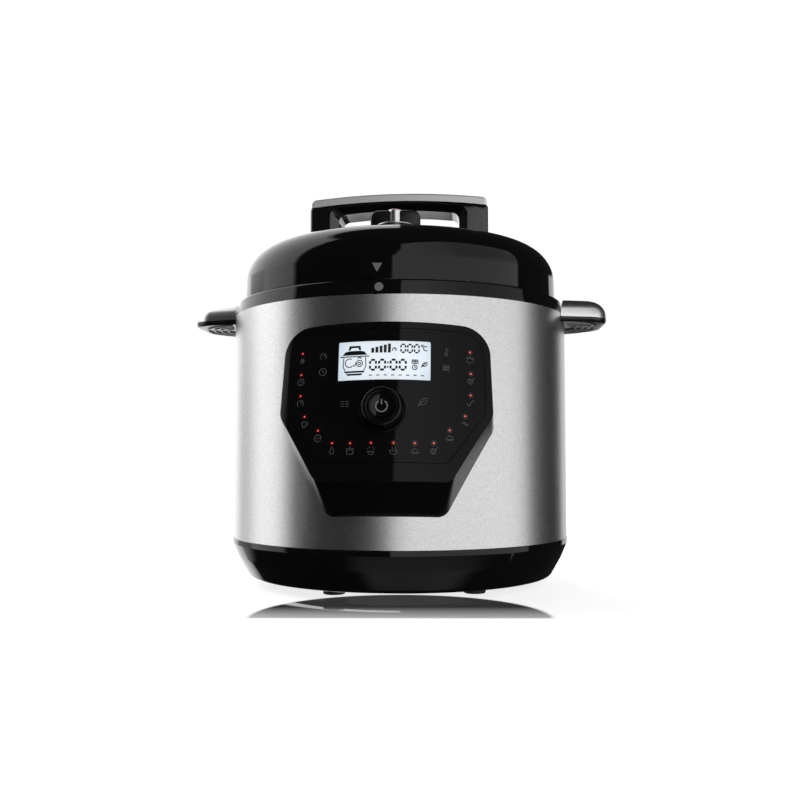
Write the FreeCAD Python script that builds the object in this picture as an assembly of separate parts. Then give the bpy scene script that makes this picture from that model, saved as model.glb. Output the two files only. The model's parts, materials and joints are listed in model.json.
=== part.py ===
"""Electric pressure cooker, six litre class, as an assembly of separate pieces.

Frame: +Z up, Z = 0 is the surface that the feet stand on, the Z axis is the axis of the pot,
the control panel faces -Y and the side handles lie along X. All sizes are millimetres.
"""
import FreeCAD
import Part
import math
import os
from FreeCAD import Vector, Matrix

os.makedirs("parts", exist_ok=True)

# ---- driving dimensions -------------------------------------------------------------------
BODY_R = 148.0            # outside of the steel shell
SHELL_T = 0.8
SHELL_BOTTOM = 41.0
SHELL_TOP = 233.4
FOOT_X, FOOT_Y, FOOT_R = 57.0, 82.0, 9.0
FOOT_TURN = 7.0           # the square of feet stands turned about the axis
FOOT_H = 4.3              # foot height, up to the bottom cover
BASE_FLOOR = 6.8          # underside of the base pan
BASE_WALL = 2.5

RING_TOP = 245.2          # shoulder of the top ring
RING_TOP_R = 145.4
TROUGH_IN, TROUGH_OUT, TROUGH_FLOOR = 126.0, 137.0, 229.0

POT_R = 110.0             # inside of the cooking pot
POT_WALL = 1.5
POT_FLOOR = 79.0          # underside of the pot
POT_BASE_T = 2.5
FLANGE_Z = 236.0          # underside of the toothed flange
FLANGE_T = 2.4
POT_RIM_T = 1.6
LINER_R = 114.5           # inside of the outer pot
LINER_T = 1.2
LINER_FLOOR = 54.8

LUG_COUNT = 6             # bayonet teeth
LUG_ANGLE = 26.0
FLANGE_R, FLANGE_LUG_R = 126.0, 130.8
LID_LUG_R = 127.8
SKIRT_IN, SKIRT_OUT = 131.8, 133.3
SKIRT_BOTTOM = 232.6

LID_WALL_R = 139.8        # lid cover at its lower edge
LID_BOTTOM = 247.0
LID_DRAFT = 0.02
LID_TOP = 309.2
DOME_R = 461.0
SHOULDER_R = 30.9
COVER_T = 2.6
PLATE_LOW, PLATE_HIGH, PLATE_T = 250.0, 256.0, 2.0

GRIP_HALF_W, GRIP_HALF_D = 80.5, 20.0      # bridge handle on the lid
GRIP_TOP, GRIP_SAG = 347.3, 4.8
TRIM_T = 6.9
GRIP_OPEN_W, GRIP_OPEN_TOP, GRIP_OPEN_SAG = 62.0, 338.0, 3.4
GRIP_BEVEL, GRIP_BEVEL_W = 5.4, 7.5        # bevel round the opening, above and at its sides

VALVE_Y = -50.0           # steam valve, in front of the bridge handle
FLOAT_X, FLOAT_Y = 30.0, -36.0

HANDLE_TIP = 183.5        # side handles
HANDLE_SPLIT = 230.6      # cap above, grip below
HANDLE_TOP = 246.4

FACE_TILT = 12.0          # control panel leans back
FACE_FOOT = Vector(0, -176.0, 94.0)
FACE_CURVE = 150.0        # radius of the panel face
FACE_H = 119.5
FACE_FOOT_W, FACE_LEAN = 48.2, 1.875        # half-width of its foot, rise over run of its diagonals
CHIN_SLOPE = 0.624        # how far the chin drops for each step behind the face
LENS_T = 2.5
LENS_GAP = 0.4
DISPLAY_S, DISPLAY_W, DISPLAY_H = 90.3, 68.6, 29.8
DIAL_S, DIAL_R, DIAL_H = 52.0, 15.0, 12.0
LED_R = 1.1
LED_DEPTH = 4.2
LED_PLACES = [(63.7, 100.2), (64.2, 83.4), (64.0, 66.6), (59.9, 50.2), (48.6, 38.4),
              (37.2, 28.2), (23.6, 27.5), (8.2, 27.4)]
INLET_ANGLE, INLET_Z = 38.0, 57.0          # mains inlet, from the rear towards +X

Z_AXIS = Vector(0, 0, 1)
shapes = {}


# ---- helpers ------------------------------------------------------------------------------
def add(name, *solids):
    """Keeps a node: one solid, or a group of separate ones."""
    shapes[name] = solids[0] if len(solids) == 1 else Part.makeCompound(list(solids))
    return shapes[name]


def cylinder(radius, low, high, x=0.0, y=0.0):
    return Part.makeCylinder(radius, high - low, Vector(x, y, low), Z_AXIS)


def tube(inner, outer, low, high, x=0.0, y=0.0):
    return cylinder(outer, low, high, x, y).cut(cylinder(inner, low - 1, high + 1, x, y))


def box(x0, x1, y0, y1, z0, z1):
    return Part.makeBox(x1 - x0, y1 - y0, z1 - z0, Vector(x0, y0, z0))


def loop(corners):
    """Closed wire in the XY plane through corners (x, y, radius), each rounded by its radius."""
    points = [Vector(x, y, 0) for x, y, _ in corners]
    count = len(points)
    starts, ends, mids = [], [], []
    for i, (_, _, radius) in enumerate(corners):
        here = points[i]
        before = (points[i - 1] - here).normalize()
        after = (points[(i + 1) % count] - here).normalize()
        half = before.getAngle(after) / 2
        if radius <= 0 or abs(half - math.pi / 2) < 1e-6:
            starts.append(here)
            ends.append(here)
            mids.append(None)
            continue
        reach = radius / math.tan(half)
        bisector = (before + after).normalize()
        centre = here + bisector * (radius / math.sin(half))
        starts.append(here + before * reach)
        ends.append(here + after * reach)
        mids.append(centre - bisector * radius)
    edges = []
    for i in range(count):
        if mids[i] is not None:
            edges.append(Part.Arc(starts[i], mids[i], ends[i]).toShape())
        following = starts[(i + 1) % count]
        if (following - ends[i]).Length > 1e-6:
            edges.append(Part.makeLine(ends[i], following))
    return Part.Wire(edges)


def turned(corners):
    """Solid of revolution about Z from corners (r, z, radius)."""
    wire = loop([(c[0], c[1], c[2] if len(c) > 2 else 0.0) for c in corners])
    wire.rotate(Vector(0, 0, 0), Vector(1, 0, 0), 90)
    return Part.Face(wire).revolve(Vector(0, 0, 0), Z_AXIS, 360)


def sector(inner, outer, low, high, middle_deg, width_deg):
    """Part of a ring, width_deg wide about middle_deg."""
    wedge = Part.makeCylinder(outer, high - low, Vector(0, 0, low), Z_AXIS, width_deg)
    wedge = wedge.cut(cylinder(inner, low - 1, high + 1))
    wedge.rotate(Vector(0, 0, 0), Z_AXIS, middle_deg - width_deg / 2)
    return wedge


def turned_copy(shape, angle):
    copy = shape.copy()
    copy.rotate(Vector(0, 0, 0), Z_AXIS, angle)
    return copy


def mirrored(shape):
    """The same piece on the other side of the YZ plane."""
    return shape.mirror(Vector(0, 0, 0), Vector(1, 0, 0))


def front_prism(corners, y0, y1):
    """Extrudes an outline drawn in X and Z from y0 to y1."""
    wire = loop(corners)
    wire.rotate(Vector(0, 0, 0), Vector(1, 0, 0), 90)
    wire.translate(Vector(0, y0, 0))
    return Part.Face(wire).extrude(Vector(0, y1 - y0, 0))


def plan_prism(corners, low, high):
    """Extrudes an outline drawn in X and Y from low to high."""
    wire = loop(corners)
    wire.translate(Vector(0, 0, low))
    return Part.Face(wire).extrude(Vector(0, 0, high - low))


def routed_tube(points, radius):
    """Tube along straight runs joined by tangent arcs as large as the runs allow."""
    edges, here = [], points[0]
    for i in range(1, len(points) - 1):
        corner = points[i]
        back = (points[i - 1] - corner).normalize()
        ahead = (points[i + 1] - corner).normalize()
        shorter = min((points[i - 1] - corner).Length, (points[i + 1] - corner).Length)
        reach = 0.45 * shorter
        half = back.getAngle(ahead) / 2
        bisector = (back + ahead).normalize()
        bend = reach * math.tan(half)
        centre = corner + bisector * (bend / math.sin(half))
        first, last = corner + back * reach, corner + ahead * reach
        edges.append(Part.makeLine(here, first))
        edges.append(Part.Arc(first, centre - bisector * bend, last).toShape())
        here = last
    edges.append(Part.makeLine(here, points[-1]))
    path = Part.Wire(edges)
    circle = Part.Wire(Part.makeCircle(radius, points[0], points[1] - points[0]))
    return path.makePipeShell([circle], True, True)


def coil_spring(radius, wire_r, low, high, turns, x=0.0, y=0.0):
    """Compression spring between two heights."""
    rise = high - low - 2 * wire_r
    helix = Part.makeHelix(rise / turns, rise, radius)
    helix.translate(Vector(x, y, low + wire_r))
    along = Vector(0, 2 * math.pi * radius, rise / turns).normalize()
    circle = Part.Wire(Part.makeCircle(wire_r, Vector(x + radius, y, low + wire_r), along))
    return Part.Wire(helix).makePipeShell([circle], True, True)


def screw(x, y, head_low, head_r=3.4, head_h=2.0, shank_r=1.6, shank=8.0):
    """Pan-head screw seen from below: the head hangs under head_low, the shank points up."""
    head = cylinder(head_r, head_low - head_h, head_low, x, y)
    recess = box(x - 2, x + 2, y - 0.45, y + 0.45, head_low - head_h - 1, head_low - head_h + 0.9)
    cross = box(x - 0.45, x + 0.45, y - 2, y + 2, head_low - head_h - 1, head_low - head_h + 0.9)
    return head.cut(recess).cut(cross).fuse(cylinder(shank_r, head_low, head_low + shank, x, y))


# ---- base ---------------------------------------------------------------------------------
BOTTOM_OPEN_R = 104.0
SWITCH_LOW = 32.6         # underside of the pressure switch
BASE_SCREWS = [(97.0, a) for a in (20.0, 160.0, 200.0, 340.0)]


def polar(radius, degrees):
    return radius * math.cos(math.radians(degrees)), radius * math.sin(math.radians(degrees))


def base_pan():
    """Moulded bowl under the shell, with an open middle that the bottom cover closes."""
    outline = [(BOTTOM_OPEN_R, BASE_FLOOR), (133.5, BASE_FLOOR, 7), (143.5, 24.5, 25),
               (148.6, 36.6, 3), (148.6, SHELL_BOTTOM, 0.5), (147.1, SHELL_BOTTOM),
               (147.1, 46.0), (144.9, 46.0), (144.9, 38.2, 3), (140.6, 25.8, 22),
               (132.0, BASE_FLOOR + BASE_WALL, 6), (BOTTOM_OPEN_R, BASE_FLOOR + BASE_WALL)]
    pan = turned(outline)
    for angle in (30.0, 150.0, 210.0, 330.0):
        x, y = polar(127.0, angle)
        pan = pan.fuse(cylinder(4.0, BASE_FLOOR + 1, 80.0, x, y))
    add("base_pan", pan)


def bottom_cover():
    """Plate that closes the base, with cooling slots and four bosses for the circuit board."""
    cover = cylinder(112.0, FOOT_H, BASE_FLOOR)
    cover = cover.fuse(tube(101.0, 103.2, BASE_FLOOR, BASE_FLOOR + 4))
    for row in range(-3, 4):
        for side in (-1, 1):
            slot = plan_prism([(-16, row * 9 - 1.5, 1.4), (16, row * 9 - 1.5, 1.4),
                               (16, row * 9 + 1.5, 1.4), (-16, row * 9 + 1.5, 1.4)],
                              FOOT_H - 1, BASE_FLOOR + 1)
            slot.translate(Vector(0, side * 38.0, 0))
            cover = cover.cut(slot)
    for x, y in BOARD_POSTS:
        cover = cover.fuse(cylinder(3.5, BASE_FLOOR, BOARD_Z, x, y))
    stand = box(18, 42, -8, 8, SWITCH_LOW - 2, SWITCH_LOW)
    cover = cover.fuse(stand).fuse(box(18, 20, -8, 8, BASE_FLOOR, SWITCH_LOW - 1))
    for radius, angle in BASE_SCREWS:
        cover = cover.cut(cylinder(1.6, FOOT_H - 1, FOOT_H + 4, *polar(radius, angle)))
    add("bottom_cover", cover)


def feet_and_screws():
    feet, screws = [], []
    for sx in (-1, 1):
        for sy in (-1, 1):
            radius, angle = math.hypot(FOOT_X, FOOT_Y), math.degrees(math.atan2(sy * FOOT_Y, sx * FOOT_X))
            x, y = polar(radius, angle + FOOT_TURN)
            foot = cylinder(FOOT_R, 0, FOOT_H, x, y)
            foot = foot.makeFillet(1.2, [e for e in foot.Edges if abs(e.BoundBox.ZMax) < 1e-6])
            feet.append(foot.cut(cylinder(4.0, -1, 2.0, x, y)))
    for radius, angle in BASE_SCREWS:
        screws.append(screw(*polar(radius, angle), FOOT_H, shank=4.0))
    add("rubber_feet", *feet)
    add("base_screws", *screws)


# ---- electrics in the base ----------------------------------------------------------------
BOARD_Z = 20.0
BOARD_X, BOARD_Y0, BOARD_Y1 = 58.0, 18.0, 88.0
BOARD_POSTS = [(-52.0, 24.0), (52.0, 24.0), (-52.0, 82.0), (52.0, 82.0)]


def power_board():
    top = BOARD_Z + 1.6
    board = box(-BOARD_X, BOARD_X, BOARD_Y0, BOARD_Y1, BOARD_Z, top)
    for x, y in BOARD_POSTS:
        board = board.cut(cylinder(1.7, BOARD_Z - 1, BOARD_Z + 3, x, y))
    add("power_board", board)
    transformer = box(-46, -16, 36, 60, top + 2, top + 18).fuse(box(-42, -20, 32, 64, top, top + 20))
    add("board_transformer", transformer)
    terminals = box(24, 50, 60, 72, top, top + 12)
    for x in (29, 37, 45):
        terminals = terminals.cut(cylinder(2.2, top + 8, top + 13, x, 66))
    add("board_terminals", terminals)


def mains_inlet():
    """Three-pin appliance inlet at the rear, in a bezel whose back follows the shell."""
    half_w, half_h, face = 25.0, 14.0, 156.0
    bezel = front_prism([(-28, INLET_Z - 14.8, 4), (28, INLET_Z - 14.8, 4),
                         (28, INLET_Z + 16, 4), (-28, INLET_Z + 16, 4)], 140, face)
    bezel = bezel.cut(cylinder(BODY_R, 30, 90))
    core = front_prism([(-14.6, INLET_Z - 10.2, 2), (14.6, INLET_Z - 10.2, 2),
                        (14.6, INLET_Z + 10.2, 2), (-14.6, INLET_Z + 10.2, 2)], 127, face + 1)
    bezel = bezel.cut(core)
    socket = front_prism([(-14.5, INLET_Z - 10.1, 2), (14.5, INLET_Z - 10.1, 2),
                          (14.5, INLET_Z + 10.1, 2), (-14.5, INLET_Z + 10.1, 2)], 134, face)
    flange = front_prism([(-half_w, INLET_Z, 8), (-15, INLET_Z - half_h + 1, 3),
                          (15, INLET_Z - half_h + 1, 3), (half_w, INLET_Z, 8),
                          (15, INLET_Z + half_h - 1, 3), (-15, INLET_Z + half_h - 1, 3)],
                         face, face + 2.4)
    cavity = front_prism([(-12.3, INLET_Z - 8.4, 1), (12.3, INLET_Z - 8.4, 1),
                          (12.3, INLET_Z + 3.4, 1), (8.0, INLET_Z + 8.4, 1),
                          (-8.0, INLET_Z + 8.4, 1), (-12.3, INLET_Z + 3.4, 1)], 142, face + 5)
    socket = socket.fuse(flange).cut(cavity)
    pins, screws = [], []
    for x, z in ((-7.0, -2.0), (7.0, -2.0), (0.0, 2.0)):
        blade = box(x - 1, x + 1, 126, 155, INLET_Z + z - 2, INLET_Z + z + 2)
        socket = socket.cut(box(x - 1, x + 1, 120, 143, INLET_Z + z - 2, INLET_Z + z + 2))
        pins.append(blade)
    for x in (-20.0, 20.0):
        hole = Part.makeCylinder(1.7, 12, Vector(x, face - 5, INLET_Z), Vector(0, 1, 0))
        socket = socket.cut(hole)
        bezel = bezel.cut(hole)
        head = Part.makeCylinder(3.0, 1.6, Vector(x, face + 2.4, INLET_Z), Vector(0, 1, 0))
        shank = Part.makeCylinder(1.6, 5.4, Vector(x, face - 3, INLET_Z), Vector(0, 1, 0))
        slot = box(x - 2.2, x + 2.2, face + 3.2, face + 5, INLET_Z - 0.4, INLET_Z + 0.4)
        screws.append(head.fuse(shank).cut(slot))
    add("inlet_bezel", turned_copy(bezel, -INLET_ANGLE))
    add("inlet_socket", turned_copy(socket, -INLET_ANGLE))
    add("inlet_pins", *[turned_copy(p, -INLET_ANGLE) for p in pins])
    add("inlet_screws", *[turned_copy(s, -INLET_ANGLE) for s in screws])


def wiring():
    """Mains leads from the inlet pins to the terminals, and the lead to the control board."""
    leads = []
    for x, z, end_x in ((-7.0, -2.0, 29.0), (0.0, 2.0, 37.0), (7.0, -2.0, 45.0)):
        turn = math.radians(-INLET_ANGLE)
        def place(px, py, pz):
            return Vector(px * math.cos(turn) - py * math.sin(turn),
                          px * math.sin(turn) + py * math.cos(turn), pz)
        start = place(x, 125.9, INLET_Z + z)
        out = place(x, 120.5, INLET_Z + z)
        route = [start, out, place(x, 116, 44), Vector(end_x, 66, 41), Vector(end_x, 66, 29.7)]
        leads.append(routed_tube(route, 1.3))
    route = [Vector(-30, -133.0, 112), Vector(-30, -133.5, 76), Vector(-30, -124, 46),
             Vector(-30, -84, 30), Vector(-30, -30, 26), Vector(-30, 26, BOARD_Z + 3.6)]
    leads.append(routed_tube(route, 2.0))
    add("wiring", *leads)


# ---- shell, top ring and side handles -----------------------------------------------------
def body_shell():
    shell = tube(BODY_R - SHELL_T, BODY_R, SHELL_BOTTOM, SHELL_TOP)
    window = front_prism([(-60, 96, 8), (60, 96, 8), (60, 200, 8), (-60, 200, 8)], -160, -100)
    shell = shell.cut(window)
    shell = shell.cut(Part.makeCylinder(5.2, 40, Vector(0, 120, 218), Vector(0, 1, 0)))
    hole = front_prism([(-15.5, INLET_Z - 11, 2), (15.5, INLET_Z - 11, 2),
                        (15.5, INLET_Z + 11, 2), (-15.5, INLET_Z + 11, 2)], 120, 160)
    shell = shell.cut(turned_copy(hole, -INLET_ANGLE))
    for side in (0, 180):
        for y in HANDLE_SCREW_Y:
            bore = Part.makeCylinder(2.2, 30, Vector(130, y, HANDLE_SCREW_Z), Vector(1, 0, 0))
            shell = shell.cut(turned_copy(bore, side))
    add("body_shell", shell)


def top_ring():
    """Collar on the shell: conical band, shoulder, drip trough and the ledge under the flange."""
    outline = [(BODY_R, SHELL_TOP), (RING_TOP_R, RING_TOP, 1.6), (TROUGH_OUT, RING_TOP, 0.8),
               (TROUGH_OUT, TROUGH_FLOOR, 1.5), (TROUGH_IN, TROUGH_FLOOR, 1.5),
               (TROUGH_IN, FLANGE_Z, 0.5), (117.5, FLANGE_Z, 0.5), (117.5, TROUGH_FLOOR - 3),
               (139.4, TROUGH_FLOOR - 3), (139.4, RING_TOP - 2.4), (143.2, RING_TOP - 2.4),
               (145.0, SHELL_TOP), (145.0, 223.5), (147.1, 223.5), (147.1, SHELL_TOP)]
    ring = turned(outline)
    for side in (0, 180):
        for y in HANDLE_SCREW_Y:
            bore = Part.makeCylinder(1.7, 30, Vector(130, y, HANDLE_SCREW_Z), Vector(1, 0, 0))
            ring = ring.cut(turned_copy(bore, side))
    add("top_ring", ring.cut(cylinder(3.2, 220, 240, 0, 131.5)))


def drain_spout():
    """Elbow that carries condensate from the trough, through the shell, into the cup."""
    def pipe(radius):
        down = cylinder(radius, 218, TROUGH_FLOOR - 3, 0, 131.5)
        along = Part.makeCylinder(radius, 28.5, Vector(0, 131.5, 218), Vector(0, 1, 0))
        mouth = cylinder(radius, 213.5, 218, 0, 160)
        balls = [Part.makeSphere(radius, Vector(0, y, 218)) for y in (131.5, 160)]
        return down.fuse([along, mouth] + balls)
    inner = pipe(3.0).fuse([cylinder(3.0, 210, 218, 0, 160), cylinder(3.0, 218, 230, 0, 131.5)])
    add("drain_spout", pipe(4.8).cut(inner))


HANDLE_SCREW_Y = (-24.0, 24.0)
HANDLE_SCREW_Z = 228.5


def handle_form(inset):
    """Outside of a side handle: side profile crossed with plan outline, both set in by inset."""
    side = [(140, 214.5 + inset, 0), (150, 214.9 + inset, 4), (170, 217.8 + inset, 10),
            (HANDLE_TIP - inset, 224.9 + inset, 3), (HANDLE_TIP - inset, 231.4, 3),
            (181.0 - inset, HANDLE_TOP - 1.2 - inset, 11), (140, HANDLE_TOP + 0.4 - inset, 0)]
    wire = loop(side)
    wire.rotate(Vector(0, 0, 0), Vector(1, 0, 0), 90)
    wire.translate(Vector(0, 60, 0))
    profile = Part.Face(wire).extrude(Vector(0, -120, 0))
    plan = plan_prism([(140, -46 + inset, 0), (152, -45 + inset, 10), (175, -36 + inset, 20),
                       (HANDLE_TIP + 0.6 - inset, -18, 30), (HANDLE_TIP + 0.6 - inset, 18, 30),
                       (175, 36 - inset, 20), (152, 45 - inset, 10), (140, 46 - inset, 0)],
                      200, 270)
    return profile.common(plan)


def side_handles():
    """Black grips with ribs underneath, each under a bright cap, screwed on from inside."""
    outer = handle_form(0.0).cut(cylinder(BODY_R, 200, 270))
    core = handle_form(2.0).cut(cylinder(BODY_R, 200, 270))
    above = box(140, 200, -70, 70, HANDLE_SPLIT, 270)
    root = tube(BODY_R, BODY_R + 2.6, 200, 270)
    cap = outer.common(above).cut(core).cut(root)
    grip = outer.cut(above).fuse(core).fuse(outer.common(root))
    for i in range(4):
        rib = Part.makeTorus(44.0 - i * 9.0, 1.1, Vector(140, 0, 0), Z_AXIS)
        rib.translate(Vector(-2, 0, 216.0 + (0.9, 0.5, 0.2, 0.0)[i]))
        grip = grip.cut(rib)
    bosses = []
    for y in HANDLE_SCREW_Y:
        grip = grip.cut(Part.makeCylinder(1.6, 16, Vector(140, y, HANDLE_SCREW_Z), Vector(1, 0, 0)))
        shank = Part.makeCylinder(1.6, 13.8, Vector(142.2, y, HANDLE_SCREW_Z), Vector(1, 0, 0))
        head = Part.makeCylinder(3.4, 2.0, Vector(140.2, y, HANDLE_SCREW_Z), Vector(1, 0, 0))
        bosses.append(head.fuse(shank))
    add("side_handle_right", grip)
    add("side_handle_left", mirrored(grip))
    add("handle_cap_right", cap)
    add("handle_cap_left", mirrored(cap))
    add("side_handle_screws", *(bosses + [mirrored(b) for b in bosses]))


# ---- pots and heater ----------------------------------------------------------------------
def outer_pot():
    """Deep-drawn vessel that carries the pressure, hung from its toothed flange."""
    out = LINER_R + LINER_T
    vessel = turned([(14.0, LINER_FLOOR), (out, LINER_FLOOR, 13.2), (out, FLANGE_Z + FLANGE_T),
                     (LINER_R, FLANGE_Z + FLANGE_T), (LINER_R, LINER_FLOOR + LINER_T, 12),
                     (14.0, LINER_FLOOR + LINER_T)])
    for x in ELEMENT_PINS:
        vessel = vessel.cut(cylinder(6.0, 50, 60, x, ELEMENT_PIN_Y))
    for x in LEAF_STUDS:
        vessel = vessel.fuse(cylinder(5.5, LEAF_LOW + LEAF_T, LINER_FLOOR + 0.4, x, 0))
        vessel = vessel.fuse(cylinder(2.5, LEAF_LOW - 2.6, LEAF_LOW + LEAF_T, x, 0))
    flange = tube(out - 0.4, FLANGE_R, FLANGE_Z, FLANGE_Z + FLANGE_T)
    for i in range(LUG_COUNT):
        angle = i * 360.0 / LUG_COUNT
        flange = flange.fuse(sector(FLANGE_R - 2, FLANGE_LUG_R, FLANGE_Z, FLANGE_Z + FLANGE_T,
                                    angle, LUG_ANGLE))
    add("outer_pot", vessel.fuse(flange))


def inner_pot():
    """Removable cooking pot, with a rolled rim that rests on the flange."""
    out = POT_R + POT_WALL
    rim = FLANGE_Z + FLANGE_T
    pot = turned([(0, POT_FLOOR), (out, POT_FLOOR, 20), (out, rim), (121.5, rim, 0.7),
                  (121.5, rim + POT_RIM_T, 0.7), (POT_R, rim + POT_RIM_T, 2),
                  (POT_R, POT_FLOOR + POT_BASE_T, 18.5), (0, POT_FLOOR + POT_BASE_T)])
    add("inner_pot", pot)


ELEMENT_PINS = (-12.0, 12.0)
ELEMENT_PIN_Y = 66.9
PLATE_BOTTOM = 66.0
LEAF_LOW, LEAF_T = 46.6, 1.2
LEAF_STUDS = (-48.0, 48.0)


def heater():
    """Cast plate with a tubular element let into its underside, on three feet."""
    plate = turned([(14.5, PLATE_BOTTOM), (93, PLATE_BOTTOM, 2), (93, POT_FLOOR, 3),
                    (14.5, POT_FLOOR)])
    element = Part.makeTorus(68.0, 4.0, Vector(0, 0, PLATE_BOTTOM), Z_AXIS)
    gap = Part.makeBox(24 - 8, 40, 20, Vector(-8, 50, PLATE_BOTTOM - 10))
    element = element.cut(gap)
    for x in ELEMENT_PINS:
        element = element.fuse(cylinder(2.4, 44, PLATE_BOTTOM - 0.5, x, ELEMENT_PIN_Y))
    for angle in (30, 150, 270):
        x, y = polar(84, angle)
        plate = plate.fuse(cylinder(4, LINER_FLOOR + LINER_T, PLATE_BOTTOM, x, y))
    add("heating_element", element)
    add("heating_plate", plate.cut(element))
    bushings = [tube(2.4, 6.0, 51, 59, x, ELEMENT_PIN_Y) for x in ELEMENT_PINS]
    add("element_bushings", *bushings)


def sensor():
    """Spring-loaded temperature probe in the middle of the heating plate."""
    bracket = cylinder(13.8, 52.3, 61).fuse(cylinder(22, 52.3, LINER_FLOOR))
    add("sensor_bracket", bracket.cut(cylinder(6.08, 40, 70)))
    probe = turned([(0, 47.6), (8.6, 47.6, 0.3), (8.6, 49.6, 0.3), (6.0, 49.6), (6.0, 74.7),
                    (11, 74.7, 0.5), (11, POT_FLOOR - 0.3, 1.5), (0, POT_FLOOR - 0.3)])
    add("temperature_probe", probe)
    add("probe_spring", coil_spring(8.6, 0.7, 61.1, 74.6, 4))


def pressure_switch():
    """Leaf spring under the outer pot, and the switch that it works as the pot settles."""
    leaf = plan_prism([(-60, -15, 6), (60, -15, 6), (60, 15, 6), (-60, 15, 6)],
                      LEAF_LOW, LEAF_LOW + LEAF_T)
    leaf = leaf.cut(cylinder(11, 40, 50))
    for x in LEAF_STUDS:
        leaf = leaf.cut(cylinder(2.5, 40, 50, x, 0))
    add("pressure_leaf", leaf)
    plunger = cylinder(1.8, SWITCH_LOW + 10.8, LEAF_LOW - 0.2, 30, 0)
    add("pressure_switch", box(20, 40, -6, 6, SWITCH_LOW, SWITCH_LOW + 10.8).fuse(plunger))
    fuse = Part.makeCylinder(3.0, 24, Vector(-46, 36, LINER_FLOOR - 3.0), Vector(1, 0, 0))
    add("thermal_fuse", fuse.fuse(box(-38, -30, 31, 41, LINER_FLOOR - 1.2, LINER_FLOOR)))


def heat_shield():
    """Bright sheet between the outer pot and the shell."""
    add("heat_shield", tube(128.0, 128.6, 80.0, 212.0))


# ---- condensate cup -----------------------------------------------------------------------
CUP_HALF_W, CUP_LOW, CUP_HIGH = 34.0, 150.0, 211.0


def condensate_cup(reach):
    """Cup at the rear that reaches as far back as the dial reaches forward, and its holder."""
    near = BODY_R + 3.2
    outer = plan_prism([(-CUP_HALF_W, near, 1), (CUP_HALF_W, near, 1), (CUP_HALF_W, reach, 9),
                        (-CUP_HALF_W, reach, 9)], CUP_LOW, CUP_HIGH)
    inner = plan_prism([(-CUP_HALF_W + 1.8, near + 1.8, 0.8), (CUP_HALF_W - 1.8, near + 1.8, 0.8),
                        (CUP_HALF_W - 1.8, reach - 1.8, 7.2), (-CUP_HALF_W + 1.8, reach - 1.8, 7.2)],
                       CUP_LOW + 1.8, CUP_HIGH + 1)
    add("condensate_cup", outer.cut(inner))
    edge = CUP_HALF_W + 0.5
    holder = box(-edge - 2.5, edge + 2.5, 140, 166, CUP_LOW - 3.0, 206)
    holder = holder.cut(box(-edge, edge, near - 0.5, 200, CUP_LOW - 0.4, 220))
    holder = holder.cut(cylinder(BODY_R, 100, 230))
    holder = holder.cut(box(-edge + 8, edge - 8, 162, 170, 140, 220))
    add("cup_holder", holder)


# ---- control panel ------------------------------------------------------------------------
PANEL = Matrix()
PANEL.rotateX(math.radians(90 - FACE_TILT))
PANEL.move(FACE_FOOT)


def on_panel(shape):
    """Moves a shape from panel coordinates (X right, Y up the face, Z out of it) into place."""
    return shape.transformed(PANEL)


def face_outline(depth, inset=0.0):
    """Outline of the panel at a depth behind its face: the lower walls flare, and the chin's edge
    is bowed so that it follows the round of the face."""
    bottom = -CHIN_SLOPE * depth + inset
    diagonal = (0.17 * depth - inset) * math.hypot(1, FACE_LEAN) / FACE_LEAN
    side = 80.3 + 0.03 * depth - inset
    foot_x = FACE_FOOT_W + diagonal + bottom / FACE_LEAN
    rise = CHIN_SLOPE * foot_x ** 2 / (2 * FACE_CURVE)
    foot_x += rise / FACE_LEAN
    knee_y = (side - FACE_FOOT_W - diagonal) * FACE_LEAN
    slope = 1.8 * rise / foot_x
    soft = max(4.0, 14.0 - inset * 0.6)
    right = [(foot_x, bottom + rise, soft), (side, knee_y, soft),
             (side - 2.6, FACE_H + 1.0 - inset, max(6.0, 21.0 - inset))]
    middle = [(0.0, bottom - 0.8 * rise, 0.7 * foot_x / slope)]
    return middle + right + [(-x, y, r) for x, y, r in reversed(right)]


def face_drum(depth):
    """Solid cylinder whose front is the panel face, set in by depth."""
    return Part.makeCylinder(FACE_CURVE - depth, 400, Vector(0, -200, -FACE_CURVE), Vector(0, 1, 0))


def panel_loft(front, back, inset=0.0):
    wires = []
    for depth in (front, back):
        wire = loop(face_outline(depth, inset))
        wire.translate(Vector(0, 0, -depth))
        wires.append(wire)
    return Part.makeLoft(wires, True, True)


def panel_prism(corners, back, front):
    wire = loop(corners)
    wire.translate(Vector(0, 0, back))
    return Part.Face(wire).extrude(Vector(0, 0, front - back))


LENS_CORNERS = [(46.6, 13.3, 9.0), (75.2, 54.0, 12.0), (73.4, 115.0, 17.0)]


def lens_prism(gap, back, front):
    """Outline of the lens with its corners moved in by a gap, as a prism along the face normal."""
    right = [(x - gap, y + (gap if y < 20 else 0.0) - (gap if y > 100 else 0.0), r - gap)
             for x, y, r in LENS_CORNERS]
    return panel_prism(right + [(-x, y, r) for x, y, r in reversed(right)], back, front)


def display_prism(grow, back, front):
    w, h = DISPLAY_W / 2 + grow, DISPLAY_H / 2 + grow
    return panel_prism([(-w, DISPLAY_S - h, 0.8), (w, DISPLAY_S - h, 0.8),
                        (w, DISPLAY_S + h, 0.8), (-w, DISPLAY_S + h, 0.8)], back, front)


def dial_cylinder(radius, low, high):
    return Part.makeCylinder(radius, high - low, Vector(0, DIAL_S, low), Vector(0, 0, 1))


def led_places():
    return [(side * x, s) for x, s in LED_PLACES for side in (-1, 1)]


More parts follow.
